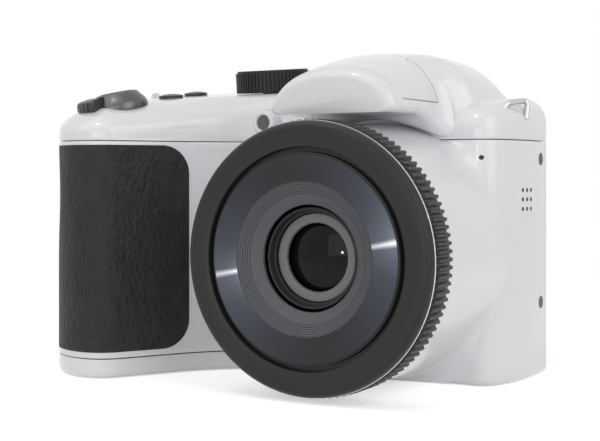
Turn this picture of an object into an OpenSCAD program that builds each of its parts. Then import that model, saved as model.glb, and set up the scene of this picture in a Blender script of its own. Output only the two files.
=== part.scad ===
// Bridge camera: covers with a hand grip, telescoping zoom lens, pop-up flash and controls.
// Millimetres. X runs to the lens side, the lens looks along -Y, Z is up, and the base is at Z = 0.

/* [Case] */
// Width across the case
body_w = 118.7; // [116:0.1:126]
// Depth from the case's front wall to its back face
case_d = 35; // [34:0.5:40]
// How far the lens rings stand in front of the case's front wall
nose = 40.5; // [38:0.5:46]
// Height of the thumb rest on the back face
rest_h = 2.5; // [1.5:0.1:4]
// Height of the top of the flash hump
total_h = 84; // [83:0.5:88]
// Height of the seam between the lower covers and the top cover
seam_z = 61; // [60.5:0.5:62.5]
// Height of the deck at mid depth
deck_z = 74; // [73:0.5:76]
// Forward tilt of the deck, in degrees
deck_tilt = 5.7; // [4:0.1:6.5]
// Wall of the covers
wall = 2; // [1.6:0.1:2.2]
// Depth of the back cover
back_depth = 5.5; // [5:0.1:6.5]
// Radius of the deck's edge on the grip side
edge_l = 7; // [5:0.5:7]
// Radius of the deck's edge on the lens side
edge_r = 12; // [9:0.5:13]
// Radius of the edge round the base
foot_r = 1.6; // [0.8:0.1:1.9]

/* [Grip] */
// How far the grip stands in front of the case's front wall
grip_d = 38.5; // [37.5:0.5:40]
// Angle of the grip's inner flank, in degrees
flank_a = 59; // [57:1:62]
// Radius of the grip's inner tip
tip_r = 9; // [8:0.5:11]
// Radius of the hollow between the grip and the lens
pocket_r = 39; // [35:1:42]
// Thickness of the grip rubber
rubber_t = 1.2; // [0.8:0.1:1.4]
// Height of the rubber's lower edge
rubber_z0 = 6.6; // [6:0.1:12]
// Height of the rubber's upper edge
rubber_z1 = 60; // [50:0.5:60.2]

/* [Lens] */
// Distance of the lens axis from the case's lens-side wall
lens_in = 34.6; // [34.2:0.1:40]
// Height of the lens axis
lens_z = 33; // [32.8:0.1:33.6]
// Outer radius of the ribbed ring
rib_r = 32.4; // [31.8:0.1:32.6]
// Number of ribs on the ribbed ring
rib_n = 110; // [80:2:130]
// Outer radius of the outer barrel
barrel_r = 24.6; // [24.2:0.1:24.8]
// Wall of the outer barrel
barrel_t = 1.4; // [1:0.1:2]
// Length of the outer barrel
barrel_len = 41; // [36:0.5:41]
// Outer radius of the stepped baffle
baffle_r = 17.9; // [17:0.1:20]
// Depth of the stepped baffle
baffle_d = 3.4; // [2.8:0.1:3.6]
// Outer radius of the inner barrel
inner_r = 12; // [11.6:0.1:12.2]
// Length of the inner barrel
inner_len = 32; // [28:0.5:33]
// Radius of the front glass
glass_r = 8.1; // [7.4:0.1:8.6]

/* [Flash] */
// How far the hump's front face stands in front of the case's front wall
hump_out = 27.5; // [26.5:0.5:28]
// Half width of the hump at its front face
hump_w0 = 18; // [17:0.5:20]
// Half width of the hump behind the flash
hump_w1 = 27; // [24:0.5:27.5]
// Fall of the hump's top from its peak to its front face
hump_drop = 6.7; // [5.5:0.1:7]
// Thickness of the flash lid
lid_t = 1.6; // [1.3:0.1:1.8]
// Radius of the flash hinge pin
pin_r = 0.5; // [0.4:0.05:0.6]

/* [Controls] */
// Radius of the mode dial
dial_r = 10.5; // [9:0.1:11]
// Height of the mode dial
dial_h = 6.2; // [5:0.1:7]
// Number of ridges on the mode dial
dial_n = 60; // [40:2:72]
// Radius of the shutter button
shutter_r = 4.6; // [4:0.1:5]
// Width of the zoom lever's ring
lever_w = 2.9; // [2.2:0.1:3.4]
// Radius of the small deck buttons
deck_btn_r = 3.4; // [2.8:0.1:3.8]
// Radius of the small back buttons
back_btn_r = 3; // [2.4:0.1:3.2]
// Outer radius of the four-way pad
pad_r = 9; // [8:0.1:9.4]
// Width of the display window
lcd_w = 68; // [60:0.5:69]
// Height of the display window
lcd_h = 50; // [44:0.5:52]

/* [Base] */
// Radius of the tripod thread's wall
tripod_r = 3.175; // [2.5:0.005:3.6]
// Depth of the tripod thread
tripod_len = 5.5; // [4:0.1:6]
// Height of the battery door's upper edge
door_z = 4.8; // [4.4:0.1:5]
// Radius of one battery cell
cell_r = 7.1; // [6.9:0.05:7.15]
// Length of one battery cell
cell_len = 50.5; // [48:0.1:50.6]

/* [Hidden] */
$fn = 64;

// Clearances: moving pieces, seams, fitted pieces, running shafts
gap = 0.3;
seam = 0.2;
fit = 0.05;
run = 0.05;
// Overshoot of cutting solids
over = 1;

// Places along X, Y and Z that follow from the sizes above
hw = body_w / 2;
total_d = nose + case_d + rest_h;
ring_y = -total_d / 2;
front_y = ring_y + nose;
back_y = front_y + case_d;
split_y = back_y - back_depth;
grip_y = front_y - grip_d;
lens_x = hw - lens_in;
slope = tan(deck_tilt);
function deck(y) = deck_z + slope * y;

// Plan outline of the case
rear_r = 6;
rear_l = 8;
side_a = 9.35;
side_e = 2.6;
side_b = case_d - rear_r - 0.5;
palm_a = 18;
palm_b = 19;
grip_flat = 0.35;
min_r = 1.5;
tip_c = [-hw + palm_a + grip_flat, grip_y + tip_r];
tip_end = tip_c + tip_r * [sin(flank_a), -cos(flank_a)];
pocket_cy = front_y - pocket_r;
pocket_cx = tip_end[0] + (pocket_r + (pocket_cy - tip_end[1]) * cos(flank_a)) / sin(flank_a);

// Flash hump
hump_y0 = front_y - hump_out;
hump_y1 = back_y - 1.5;
hump_run = 30;
hump_peak = front_y + 10.5;
hump_back = 5;
hump_base = seam_z + 1;
hump_e = 2.4;
hump_side = 4;
hump_side_e = 2.8;
hump_side_run = 9;
hump_edge = 2;
logo_t = 2.8;
under_run = 14;
under_z = lens_z + rib_r + 1.6;
floor_z = under_z + 2.7;
hinge_y = front_y - 3;
hinge_z = total_h - 2.6;
hinge_lift = 1.7;
knuckle_r = 1.1;
lid_z = floor_z + 0.8;
lid_reach = 21.3;
bulk_y = hinge_y + 2.2;
bulk_t = 1.5;

// Lens stack, as distances in front of the origin
ring_h = -ring_y;
ring_t = 2.1;
trim_t = 0.6;
groove_t = 0.8;
rib_len = 8.3;
ring_r = rib_r - 0.4;
ring_ro = rib_r - 1.4;
ring_ri = barrel_r + 1.2;
rib_h1 = ring_h - ring_t - trim_t;
rib_h0 = rib_h1 - groove_t - rib_len;
flange_r = 28.6;
tube_ri = barrel_r + 0.1;
tube_ro = tube_ri + 1.9;
cam_ri = tube_ro + gap;
cam_ro = flange_r;
collar_ri = flange_r + 0.6;
collar_r0 = rib_r - 1.4;
collar_r1 = rib_r + 0.2;
collar_flare = 2.4;
base_y = front_y + 11.5;
base_t = 3;
base_r = 28.8;
gear_m = 0.8;
gear_n = 74;
pin_n = 10;
gear_y0 = front_y + 3.5;
gear_w = 4;
gear_r = gear_m * gear_n / 2;
pinion_r = gear_m * pin_n / 2;
drive_a = 205;
drive_x = lens_x + (gear_r + pinion_r) * cos(drive_a);
drive_z = lens_z + (gear_r + pinion_r) * sin(drive_a);
shaft_r = 1;
motor_r = 5;
motor_len = 10;
barrel_face = 1.4;
baffle_n = 6;
baffle_ri = inner_r + 0.5;
baffle_t = 0.8;
inner_h1 = ring_h - baffle_d - 1;
inner_ri = inner_r - 1.6;
guide_h1 = ring_h - baffle_d - 1.6;
guide_t = 3;
cell_h1 = inner_h1 - 3.4;
cell_t = 5;
bezel_t = 0.9;
rod_r = 0.8;
rod_x = 8;
rod_y0 = front_y + 0.5;
carriage_t = 3;
carriage_y = base_y - 2 - carriage_t;
focus_r = 5.1;
board_t = 1.4;
sensor_t = 1;
main_y = split_y - 3.5;
post_r = 2;

// Deck controls: place of each axis on the deck
lever_p = [-hw + 17.85, grip_y + 15];
power_p = [-hw + 22.85, grip_y + 32];
burst_p = [-hw + 17.35, back_y - 21.5];
dial_p = [lens_x - hump_w1 - dial_r - 2.75, back_y - 21];
lever_ri = shutter_r + gap;
lever_ro = lever_ri + lever_w;
sleeve_t = 0.8;
tab_r = lever_ro + 3.2;
tab_w = 7;
tab_a = 225;
dial_shaft = 3;
flange_t = 1;
flange_w = 0.9;
deck_board = 8.5;
lug_y = back_y - 24;
lug_a = 52;
lug_al = 40;
lug_r = 0.8;
lug_w = 9;
lug_h = 2;

// Front details
lamp_x = -hw + 52.25;
lamp_z = seam_z + 5.2;
lamp_r = 1.9;
lamp_boss = 3.6;
lamp_y = front_y - 5.8;
mic_p = [hw - 6.85, seam_z - 4.6];
mic_r = 0.6;
speaker_y = front_y + 15.8;
speaker_z = 46;
speaker_r = 4.5;
speaker_pitch = 2.4;
speaker_hole = 0.55;
screw_y = split_y - 4.1;
screw_zs = [18.9, 56.4];
screw_r = 1.65;
screw_shank = 0.8;
screw_len = 6;
boss_w = 5;

// Back details
lcd_c = [lens_x - 7.75, 31];
lcd_t = 2.9;
window_t = 1;
lcd_lip = 2;
pad_c = [-hw + 19.35, 27];
pad_ri = 4.4;
ok_r = 3.9;
rest_c = [-hw + 13.35, 50];
rest_r = 20;
back_in = back_y - wall;
bb_y = split_y;
bb_t = 1.2;
btn_out = 0.8;
record_p = [-hw + 29.35, 52];
menu_p = [-hw + 28.35, 40];
display_p = [-hw + 12.1, 39];
play_p = [-hw + 28.35, 13.5];
delete_p = [-hw + 12.1, 13.5];

// Base and battery bay
door_x = -hw + 46.85;
door_y1 = split_y - 3;
pivot_z = 1.5;
pivot_r = 1.3;
pivot_pin = 0.6;
pivot_y = [front_y - 3.5, front_y + 0.5, front_y + 16.5, front_y + 20.5];
pivot_clear = 2.4;
cell_z = 6.2;
cell_ps = [[-hw + 11.15, grip_y + 13.2], [-hw + 9.85, grip_y + 27.9],
    [-hw + 24.35, grip_y + 21], [-hw + 24.85, grip_y + 36]];
chamber_z0 = 6;
chamber_y1 = grip_y + 44.5;
chamber_x1 = -hw + 33.85;
bore_r = cell_r + 0.2;
cap_t = 2;
latch_y = front_y - 1.3;
latch_x = -hw + 9.35;
latch_w = 7.6;
latch_len = 9;
latch_move = 2.5;
flap_y = front_y + 9.5;
flap_z = 26;
flap_w = 12;
flap_hh = 16;
flap_t = 1.2;
bush_r = 5.5;
bush_y = front_y + 22;

// Functions and helpers

function arc(c, rx, ry, a0, a1, n) = [for (k = [0 : n])
    let (a = a0 + (a1 - a0) * k / n) [c[0] + rx * cos(a), c[1] + ry * sin(a)]];

function bow(v, e) = sign(v) * pow(abs(v), e);

function soft_arc(c, rx, ry, a0, a1, n, e) = [for (k = [0 : n])
    let (a = a0 + (a1 - a0) * k / n) [c[0] + rx * bow(cos(a), 2 / e), c[1] + ry * bow(sin(a), 2 / e)]];

// Plan outline, drawn in by il on the grip side, front and back and by ir on the lens side
function plan(il, ir) =
    let (sa = max(side_a - ir, min_r))
    let (rx = max(rear_r - ir, min_r))
    let (ry = max(rear_r - il, min_r))
    let (sb = min(side_b - il, case_d - 2 * il - ry - 0.3))
    let (rl = max(rear_l - il, min_r))
    let (tr = max(tip_r - il, min_r))
    concat(
        soft_arc([hw - ir - sa, front_y + il + sb], sa, sb, -90, 0, 12, side_e),
        arc([hw - ir - rx, back_y - il - ry], rx, ry, 0, 90, 6),
        arc([-hw + il + rl, back_y - il - rl], rl, rl, 90, 180, 6),
        arc([-hw + palm_a, grip_y + palm_b], palm_a - il, palm_b - il, 180, 270, 10),
        arc(tip_c, tr, tr, 270, 270 + flank_a, 6),
        arc([pocket_cx, pocket_cy], pocket_r + il, pocket_r + il, 90 + flank_a, 90, 10));

// Solid through rings of points, each ring counterclockwise and the rings rising
module loft(rings) {
    n = len(rings[0]);
    m = len(rings);
    points = [for (r = rings) each r];
    sides = [for (j = [0 : m - 2], k = [0 : n - 1])
        let (a = j * n + k, b = j * n + (k + 1) % n)
        each [[a, a + n, b + n], [a, b + n, b]]];
    polyhedron(points, concat([[for (k = [0 : n - 1]) k]], sides,
        [[for (k = [n - 1 : -1 : 0]) (m - 1) * n + k]]));
}

// Upright prism on the plan outline drawn in by i
module prism(i, z0, z1) {
    translate([0, 0, z0]) linear_extrude(z1 - z0) polygon(plan(i, i));
}

module lower_solid() {
    prism(0, foot_r, seam_z);
    prism(foot_r * 0.3, foot_r * 0.3, foot_r + over);
    prism(foot_r, 0, foot_r);
}

module lower_hollow() {
    prism(wall, wall, seam_z + over);
}

// Removes what lies outside the tangent planes of a deck edge of radius r, drawn in by i
module edge_cuts(place, turn, r, i) {
    for (a = [30, 60])
        translate(place) rotate(turn * (90 - a))
            translate([-body_w, -body_w, r - i]) cube(2 * body_w);
}

// Removes what lies outside the tangent cones of the deck's edge round the finger pocket, drawn in by i
module pocket_cuts(i) {
    e = edge_l - i;
    side = tan(15) * e;
    mid = sin(45) / cos(15) * e;
    translate([pocket_cx, pocket_cy / cos(deck_tilt), -i]) rotate_extrude() polygon([
        [0, side - e], [pocket_r + i, side - e], [pocket_r + edge_l - mid, mid - e],
        [pocket_r + edge_l - side, 0], [pocket_r + edge_l - side, total_h], [0, total_h]]);
}

// Deck drawn in by i, from z0 up: the plan outline under a tilted plane, with its edges eased
module deck_solid(i, z0) {
    difference() {
        prism(i, z0, total_h);
        translate([0, 0, deck_z]) rotate([deck_tilt, 0, 0]) {
            translate([-body_w, -body_w, -i]) cube(2 * body_w);
            edge_cuts([hw - edge_r, 0, -edge_r], [0, 1, 0], edge_r, i);
            edge_cuts([-hw + edge_l, 0, -edge_l], [0, -1, 0], edge_l, i);
            edge_cuts([0, back_y - edge_l, -edge_l], [-1, 0, 0], edge_l, i);
            edge_cuts([0, grip_y + edge_l, -edge_l], [1, 0, 0], edge_l, i);
            pocket_cuts(i);
        }
    }
}

function ease(t) = let (u = min(max(t, 0), 1)) u * u * (3 - 2 * u);

function hump_w(y) = hump_w0 + (hump_w1 - hump_w0) * ease((y - hump_y0) / hump_run);

function hump_top(y) = y < hump_peak
    ? total_h - hump_drop * pow((hump_peak - y) / (hump_peak - hump_y0), 2)
    : total_h - hump_back * pow((y - hump_peak) / (hump_y1 - hump_peak), 4);

function hump_in(y) = let (t = 1 - min(min(y - hump_y0, hump_y1 - y) / hump_edge, 1))
    hump_edge * (1 - sqrt(1 - t * t));

// Section of the hump at y, drawn in by i: its lens side fills out behind the flash
function hump_ring(y, i) =
    let (e = hump_in(y) + i)
    let (fill = ease((y - front_y) / hump_side_run))
    let (h = hump_top(y) - e - hump_base)
    [for (a = [0 : 10 : 180])
        let (side = a < 90 ? fill : 0)
        let (w = hump_w(y) + hump_side * side - e)
        let (p = 2 / (hump_e + (hump_side_e - hump_e) * side))
        [lens_x + w * bow(cos(a), p), y, hump_base + h * bow(sin(a), p)]];

hump_ys = concat([for (t = [0, 0.2, 0.55, 1]) hump_y0 + hump_edge * t],
    [for (k = [1 : 9]) hump_y0 + hump_edge + (hump_y1 - hump_y0 - 2 * hump_edge) * k / 10],
    [for (t = [1, 0.55, 0.2, 0]) hump_y1 - hump_edge * t]);

module hump_solid(i) {
    n = len(hump_ys);
    loft([for (k = [n - 1 : -1 : 0]) hump_ring(hump_ys[k], i)]);
}

module on_lens() {
    translate([lens_x, 0, lens_z]) rotate([90, 0, 0]) children();
}

module on_deck(p) {
    translate([p[0], p[1], deck(p[1])]) rotate([deck_tilt, 0, 0]) children();
}

// Cylinder along Y, from y0 to y1
module along_y(x, z, r, y0, y1) {
    translate([x, y1, z]) rotate([90, 0, 0]) cylinder(r = r, h = y1 - y0);
}

// Cylinder along X, from x0 to x1
module along_x(y, z, r, x0, x1) {
    translate([x0, y, z]) rotate([0, 90, 0]) cylinder(r = r, h = x1 - x0);
}

module box(a, b) {
    translate(a) cube(b - a);
}

// Ring about the lens axis, between two distances in front of the origin
module ring(ri, ro, h0, h1) {
    translate([0, 0, h0]) difference() {
        cylinder(r = ro, h = h1 - h0);
        translate([0, 0, -over]) cylinder(r = ri, h = h1 - h0 + 2 * over);
    }
}

// Outline with n teeth between two radii
module toothed(n, r0, r1, root, tip) {
    polygon([for (k = [0 : n - 1]) each [
        let (a = 360 * (k - root / 2) / n) r0 * [cos(a), sin(a)],
        let (a = 360 * (k - tip / 2) / n) r1 * [cos(a), sin(a)],
        let (a = 360 * (k + tip / 2) / n) r1 * [cos(a), sin(a)],
        let (a = 360 * (k + root / 2) / n) r0 * [cos(a), sin(a)]]]);
}

// Covers

// Outer profile of the collar round the lens, widened by w
function collar_line(w) = [for (k = [0 : 8]) let (t = k / 8)
    [collar_r0 + w + (collar_r1 - collar_r0) * t + collar_flare * pow(t, 6),
        rib_h0 - seam + (-front_y - 0.3 - rib_h0 + seam) * t]];

module collar(w, ri) {
    rotate_extrude() polygon(concat(
        [[ri, rib_h0 - seam]], collar_line(w),
        [[collar_r1 + w, -front_y - wall / 2], [ri, -front_y - wall / 2]]));
}

module collar_room() {
    rotate_extrude() polygon(concat([[0, rib_h0 + over]],
        [[collar_r0 + gap, rib_h0 + over]], collar_line(gap),
        [[collar_r1 + gap, -front_y - wall - gap], [0, -front_y - wall - gap]]));
}

// Wall that carries the collar on round the case's soft front edge
module collar_heel() {
    intersection() {
        on_lens() ring(gear_r + gear_m + 0.6, collar_r1 - 0.1, -front_y - 10, -front_y - 0.4);
        box([lens_x + 18, front_y, 0], [hw - 1, back_y, seam_z]);
    }
}

module rubber_mask() {
    r = 5;
    x0 = -hw - over;
    x1 = -hw + 36.35;
    translate([0, front_y + 3, 0]) rotate([90, 0, 0]) linear_extrude(grip_d + 10) union() {
        translate([x0, rubber_z0]) square([x1 - r - x0, rubber_z1 - rubber_z0]);
        translate([x0, rubber_z0 + r]) square([x1 - x0, rubber_z1 - rubber_z0 - 2 * r]);
        translate([x1 - r, rubber_z0 + r]) circle(r);
        translate([x1 - r, rubber_z1 - r]) circle(r);
    }
}

module rubber_skin(i, o) {
    intersection() {
        difference() {
            prism(o, foot_r, seam_z);
            prism(i, foot_r - over, seam_z + over);
        }
        rubber_mask();
    }
}

module door_room(x_add, y_add) {
    box([-hw - over, grip_y - over, -over], [door_x + x_add, door_y1 + y_add, door_z + y_add]);
}

module pivot_web(y0, y1) {
    difference() {
        union() {
            along_y(door_x, pivot_z, pivot_r, y0, y1);
            box([door_x, y0, pivot_z - pivot_r], [door_x + 4, y1, pivot_z + pivot_r]);
        }
        along_y(door_x, pivot_z, pivot_pin + 0.01, y0 - over, y1 + over);
    }
}

module speaker_holes() {
    for (j = [-1 : 1], k = [-1 : 1])
        along_x(speaker_y + j * speaker_pitch, speaker_z + k * speaker_pitch, speaker_hole, hw - 8, hw + over);
}

module screw_holes(s) {
    for (z = screw_zs) {
        along_x(screw_y, z, screw_r + 0.15, s > 0 ? hw - 1.3 : -hw - over, s > 0 ? hw + over : -hw + 1.3);
        along_x(screw_y, z, screw_shank + 0.1, s > 0 ? hw - 4 : -hw - over, s > 0 ? hw + over : -hw + 4);
    }
}

module front_cover() {
    color("white") difference() {
        union() {
            difference() {
                lower_solid();
                lower_hollow();
                door_room(pivot_r + 0.4, gap);
            }
            on_lens() collar(0, collar_ri - over);
            collar_heel();
            pivot_web(pivot_y[0], pivot_y[1] - gap);
            pivot_web(pivot_y[2] + gap, pivot_y[3]);
        }
        on_lens() translate([0, 0, -front_y - 2 * wall]) cylinder(r = collar_ri, h = grip_d);
        box([-hw - over, split_y - seam / 2, -over], [hw + over, back_y + over, total_h]);
        box([-hw, grip_y - over, -4 * over], [hw, back_y, 0]);
        box([hw, grip_y - over, -over], [hw + 4 * over, back_y + over, total_h]);
        on_lens() translate([0, 0, -gear_y0 - gear_w - 0.5]) cylinder(r = gear_r + gear_m + 0.5, h = gear_w + 1);
        rubber_skin(rubber_t, -over);
        speaker_holes();
        screw_holes(1);
        screw_holes(-1);
        along_y(mic_p[0], mic_p[1], mic_r, front_y - over, front_y + 5);
        translate([lens_x, bush_y, -over]) cylinder(r = bush_r + fit, h = wall + 2 * over);
        box([-hw - over, flap_y - gap, flap_z - gap],
            [-hw + flap_t + gap, flap_y + flap_w + gap, flap_z + flap_hh + gap]);
        box([-hw, flap_y + 4.5 - fit, flap_z + 4 - fit], [-hw + 4, flap_y + 7.3 + fit, flap_z + 11.6 + fit]);
    }
}

module top_holes() {
    on_deck(lever_p) translate([0, 0, -3 * wall]) cylinder(r = lever_ri + sleeve_t + gap, h = 6 * wall);
    on_deck(power_p) translate([0, 0, -3 * wall]) cylinder(r = deck_btn_r + 0.2, h = 6 * wall);
    on_deck(burst_p) translate([0, 0, -3 * wall]) cylinder(r = deck_btn_r + 0.2, h = 6 * wall);
    on_deck(dial_p) translate([0, 0, -3 * wall]) cylinder(r = dial_shaft + run, h = 6 * wall);
    lug_shape(1, 0.02);
    lug_shape(-1, 0.02);
    along_y(lamp_x, lamp_z, lamp_r + fit, lamp_y - over, front_y + 5);
}

board_posts = [[-hw + 8.85, grip_y + 27], [-hw + 25.85, grip_y + 23],
    [-hw + 8.85, back_y - 18], [-hw + 25.85, back_y - 28.5]];

// Space that the flash lid swings in
module flash_room() {
    intersection() {
        along_x(hinge_y, hinge_z, lid_reach + 0.4, lens_x - hump_w1, lens_x + hump_w1);
        box([lens_x - hw, hump_y0 - over, floor_z + 0.5], [lens_x + hw, hinge_y + 0.5, total_h + over]);
    }
    along_x(hinge_y, hinge_z, hinge_lift + gap, lens_x - 14, lens_x + 14);
}

// Space under the hump's front, level ahead and falling to the seam at the front wall
module under_room() {
    y1 = front_y - 0.2;
    fall = under_z - seam_z - 0.5;
    translate([lens_x - hump_w1, 0, 0]) rotate([90, 0, 90]) linear_extrude(hump_w1 + lens_in) polygon(concat(
        [[hump_y0 - over, 0], [y1, 0]],
        [for (t = [1 : -0.25 : 0]) [y1 - under_run * (1 - t), under_z - fall * t * t]],
        [[hump_y0 - over, under_z]]));
}

knuckle_x = [4, 9.5];

module top_cover() {
    color("white") union() {
        difference() {
            union() {
                deck_solid(0, seam_z + seam);
                hump_solid(0);
                intersection() {
                    along_y(lamp_x, lamp_z, lamp_boss, lamp_y, front_y + 1);
                    box([-hw, grip_y, seam_z + seam], [hw, back_y, total_h]);
                }
            }
            deck_solid(wall, seam_z - over);
            intersection() {
                hump_solid(wall);
                box([-hw, hump_y0 + logo_t, floor_z], [hw, bulk_y, total_h]);
            }
            intersection() {
                hump_solid(wall);
                box([-hw, bulk_y + bulk_t, hump_base - over], [hw, hump_y1 - wall, total_h]);
            }
            under_room();
            on_lens() collar_room();
            flash_room();
            top_holes();
        }
        difference() {
            for (s = [-1, 1]) {
                x0 = lens_x + (s > 0 ? knuckle_x[0] + gap : -knuckle_x[1]);
                x1 = lens_x + (s > 0 ? knuckle_x[1] : -knuckle_x[0] - gap);
                along_x(hinge_y, hinge_z, knuckle_r, x0, x1);
                box([x0, hinge_y, hinge_z - knuckle_r], [x1, bulk_y + 1, hinge_z]);
            }
            along_x(hinge_y, hinge_z, pin_r + 0.01, lens_x - hw, lens_x + hw);
        }
        for (p = board_posts)
            on_deck(p) translate([0, 0, board_t - deck_board]) cylinder(r = 1.2, h = deck_board - board_t - wall / 2);
    }
}

module screw_boss(s, z) {
    x0 = s > 0 ? hw - wall - boss_w - 0.3 : -hw + wall + 0.8;
    difference() {
        box([x0, screw_y - 3, z - 3], [x0 + boss_w, back_in + 0.5, z + 3]);
        along_x(screw_y, z, screw_shank + 0.02, x0 - over, x0 + boss_w + over);
    }
}

module back_holes() {
    for (p = [record_p, menu_p, display_p, play_p, delete_p])
        along_y(p[0], p[1], back_btn_r + 0.2, back_in - over, back_y + over);
    along_y(pad_c[0], pad_c[1], pad_r + gap, back_in - over, back_y + over);
    box([lcd_c[0] - lcd_w / 2 - fit, back_y - window_t, lcd_c[1] - lcd_h / 2 - fit],
        [lcd_c[0] + lcd_w / 2 + fit, back_y + over, lcd_c[1] + lcd_h / 2 + fit]);
    box([lcd_c[0] - lcd_w / 2 + lcd_lip, back_in - over, lcd_c[1] - lcd_h / 2 + lcd_lip],
        [lcd_c[0] + lcd_w / 2 - lcd_lip, back_y + over, lcd_c[1] + lcd_h / 2 - lcd_lip]);
}

bb_posts = [[-hw + 10.15, 19.5], [-hw + 34.35, 9], [-hw + 34.35, 46], [-hw + 20.85, 55.5]];

module back_cover() {
    color("white") difference() {
        union() {
            difference() {
                lower_solid();
                difference() {
                    lower_hollow();
                    box([-hw, back_in, 0], [hw, back_y, seam_z + 2 * over]);
                }
                box([-hw - over, grip_y - over, -over], [hw + over, split_y + seam / 2, total_h]);
            }
            for (s = [-1, 1], z = screw_zs) screw_boss(s, z);
            for (p = bb_posts) along_y(p[0], p[1], 1.5, bb_y + bb_t, back_in + 0.5);
            intersection() {
                translate([rest_c[0], back_y + rest_h - rest_r, rest_c[1]]) sphere(r = rest_r);
                box([-hw, back_in, 0], [hw, back_y + rest_h + over, seam_z]);
            }
        }
        back_holes();
    }
}

module grip_rubber() {
    color("dimgray") rubber_skin(rubber_t - 0.05, 0);
}

// Battery bay

module battery_door() {
    color("white") difference() {
        union() {
            intersection() {
                difference() {
                    lower_solid();
                    lower_hollow();
                }
                box([-hw - over, grip_y - over, -over], [door_x, door_y1, door_z]);
            }
            along_y(door_x, pivot_z, pivot_r, pivot_y[1], pivot_y[2]);
        }
        along_y(door_x, pivot_z, pivot_pin + run, pivot_y[0] - over, pivot_y[3] + over);
        along_y(door_x, pivot_z, pivot_clear, pivot_y[0] - over, pivot_y[1] - gap / 2);
        along_y(door_x, pivot_z, pivot_clear, pivot_y[2] + gap / 2, pivot_y[3] + over);
        box([latch_x - latch_w / 2 - 0.2, latch_y - 0.2, -over],
            [latch_x + latch_w / 2 + 0.2, latch_y + latch_len + latch_move + 0.3, wall + over]);
    }
}

module battery_latch() {
    color("gainsboro") difference() {
        union() {
            box([latch_x - latch_w / 2, latch_y, 0.4], [latch_x + latch_w / 2, latch_y + latch_len, wall + 0.5]);
            box([latch_x - latch_w / 2 - 1.2, latch_y, wall + 0.1],
                [latch_x + latch_w / 2 + 1.2, latch_y + latch_len, wall + 1.1]);
        }
        for (k = [1 : 3]) along_x(latch_y + latch_len * k / 4, 0.4, 0.4, latch_x - latch_w, latch_x + latch_w);
    }
}

module door_hinge_pin() {
    color("silver") along_y(door_x, pivot_z, pivot_pin, pivot_y[0] + 0.2, pivot_y[3] - 0.2);
}

module door_contacts() {
    color("goldenrod") for (p = cell_ps) translate([p[0], p[1], wall]) cylinder(r = 3.6, h = cell_z - wall - 0.2);
}

module battery_contacts() {
    color("goldenrod") for (p = cell_ps)
        translate([p[0], p[1], cell_z + cell_len + 0.1]) cylinder(r = 6, h = 0.7);
}

chamber_z1 = cell_z + cell_len + 0.8;

module battery_chamber() {
    color("darkslategray") difference() {
        intersection() {
            prism(wall + gap, chamber_z0, chamber_z1 + cap_t);
            box([-hw, grip_y, 0], [chamber_x1, chamber_y1, total_h]);
        }
        for (p = cell_ps) translate([p[0], p[1], 0]) cylinder(r = bore_r, h = chamber_z1);
    }
}

module battery_cells() {
    nub = 1;
    color("steelblue") for (p = cell_ps) translate([p[0], p[1], cell_z]) union() {
        cylinder(r = cell_r, h = cell_len - nub);
        cylinder(r = 2.75, h = cell_len);
    }
}

module card_socket() {
    color("silver") difference() {
        box([-hw + 3.35, chamber_y1 + 0.3, 7], [-hw + 28.35, chamber_y1 + 3.6, 35]);
        box([-hw + 3.85, chamber_y1 + 0.8, 6], [-hw + 27.85, chamber_y1 + 3.1, 33]);
    }
}

module usb_socket() {
    y0 = flap_y + 4.5;
    z0 = flap_z + 4;
    color("silver") difference() {
        box([-hw + flap_t + gap + 0.2, y0, z0], [-hw + 7.4, y0 + 2.8, z0 + 7.6]);
        box([-hw, y0 + 0.4, z0 + 0.4], [-hw + 6.6, y0 + 2.4, z0 + 7.2]);
    }
}

flap_pin = [-hw + flap_t / 2, flap_y + flap_t / 2];

module port_flap() {
    color("white") union() {
        box([-hw, flap_pin[1], flap_z], [-hw + flap_t, flap_y + flap_w, flap_z + flap_hh]);
        translate([flap_pin[0], flap_pin[1], flap_z]) cylinder(r = flap_t / 2, h = flap_hh);
    }
}

module tripod_bush() {
    color("goldenrod") difference() {
        union() {
            translate([lens_x, bush_y, 0.1]) cylinder(r = bush_r, h = tripod_len + 1.2);
            translate([lens_x, bush_y, wall]) cylinder(r = bush_r + 1.5, h = 1.2);
        }
        translate([lens_x, bush_y, -over]) cylinder(r = tripod_r, h = tripod_len + over + 0.1);
    }
}

module case_screws() {
    color("black") for (s = [-1, 1], z = screw_zs) {
        x1 = hw - 0.3;
        difference() {
            union() {
                along_x(screw_y, z, screw_r, s > 0 ? x1 - 1 : -x1, s > 0 ? x1 : -x1 + 1);
                along_x(screw_y, z, screw_shank, s > 0 ? x1 - 1 - screw_len : -x1 + 0.5, s > 0 ? x1 - 0.5 : -x1 + 1 + screw_len);
            }
            box([s > 0 ? x1 - 0.4 : -x1 - over, screw_y - 1.1, z - 0.25], [s > 0 ? x1 + over : -x1 + 0.4, screw_y + 1.1, z + 0.25]);
            box([s > 0 ? x1 - 0.4 : -x1 - over, screw_y - 0.25, z - 1.1], [s > 0 ? x1 + over : -x1 + 0.4, screw_y + 0.25, z + 1.1]);
        }
    }
}

// Staple through the shoulder on side s, its bars widened by w
module lug_shape(s, w) {
    e = s > 0 ? edge_r : edge_l;
    translate([s * (hw - e), lug_y, deck(lug_y) - e]) rotate([0, s > 0 ? lug_a : -lug_al, 0]) union() {
        for (k = [-1, 1]) {
            translate([0, k * lug_w / 2, e - wall - 0.5]) cylinder(r = lug_r + w, h = wall + 0.5 + lug_h);
            translate([0, k * lug_w / 2, e + lug_h]) sphere(r = lug_r + w);
        }
        translate([0, lug_w / 2, e + lug_h]) rotate([90, 0, 0]) cylinder(r = lug_r + w, h = lug_w);
    }
}

module strap_lugs() {
    color("silver") {
        lug_shape(1, 0);
        lug_shape(-1, 0);
    }
}

// Lens

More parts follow.
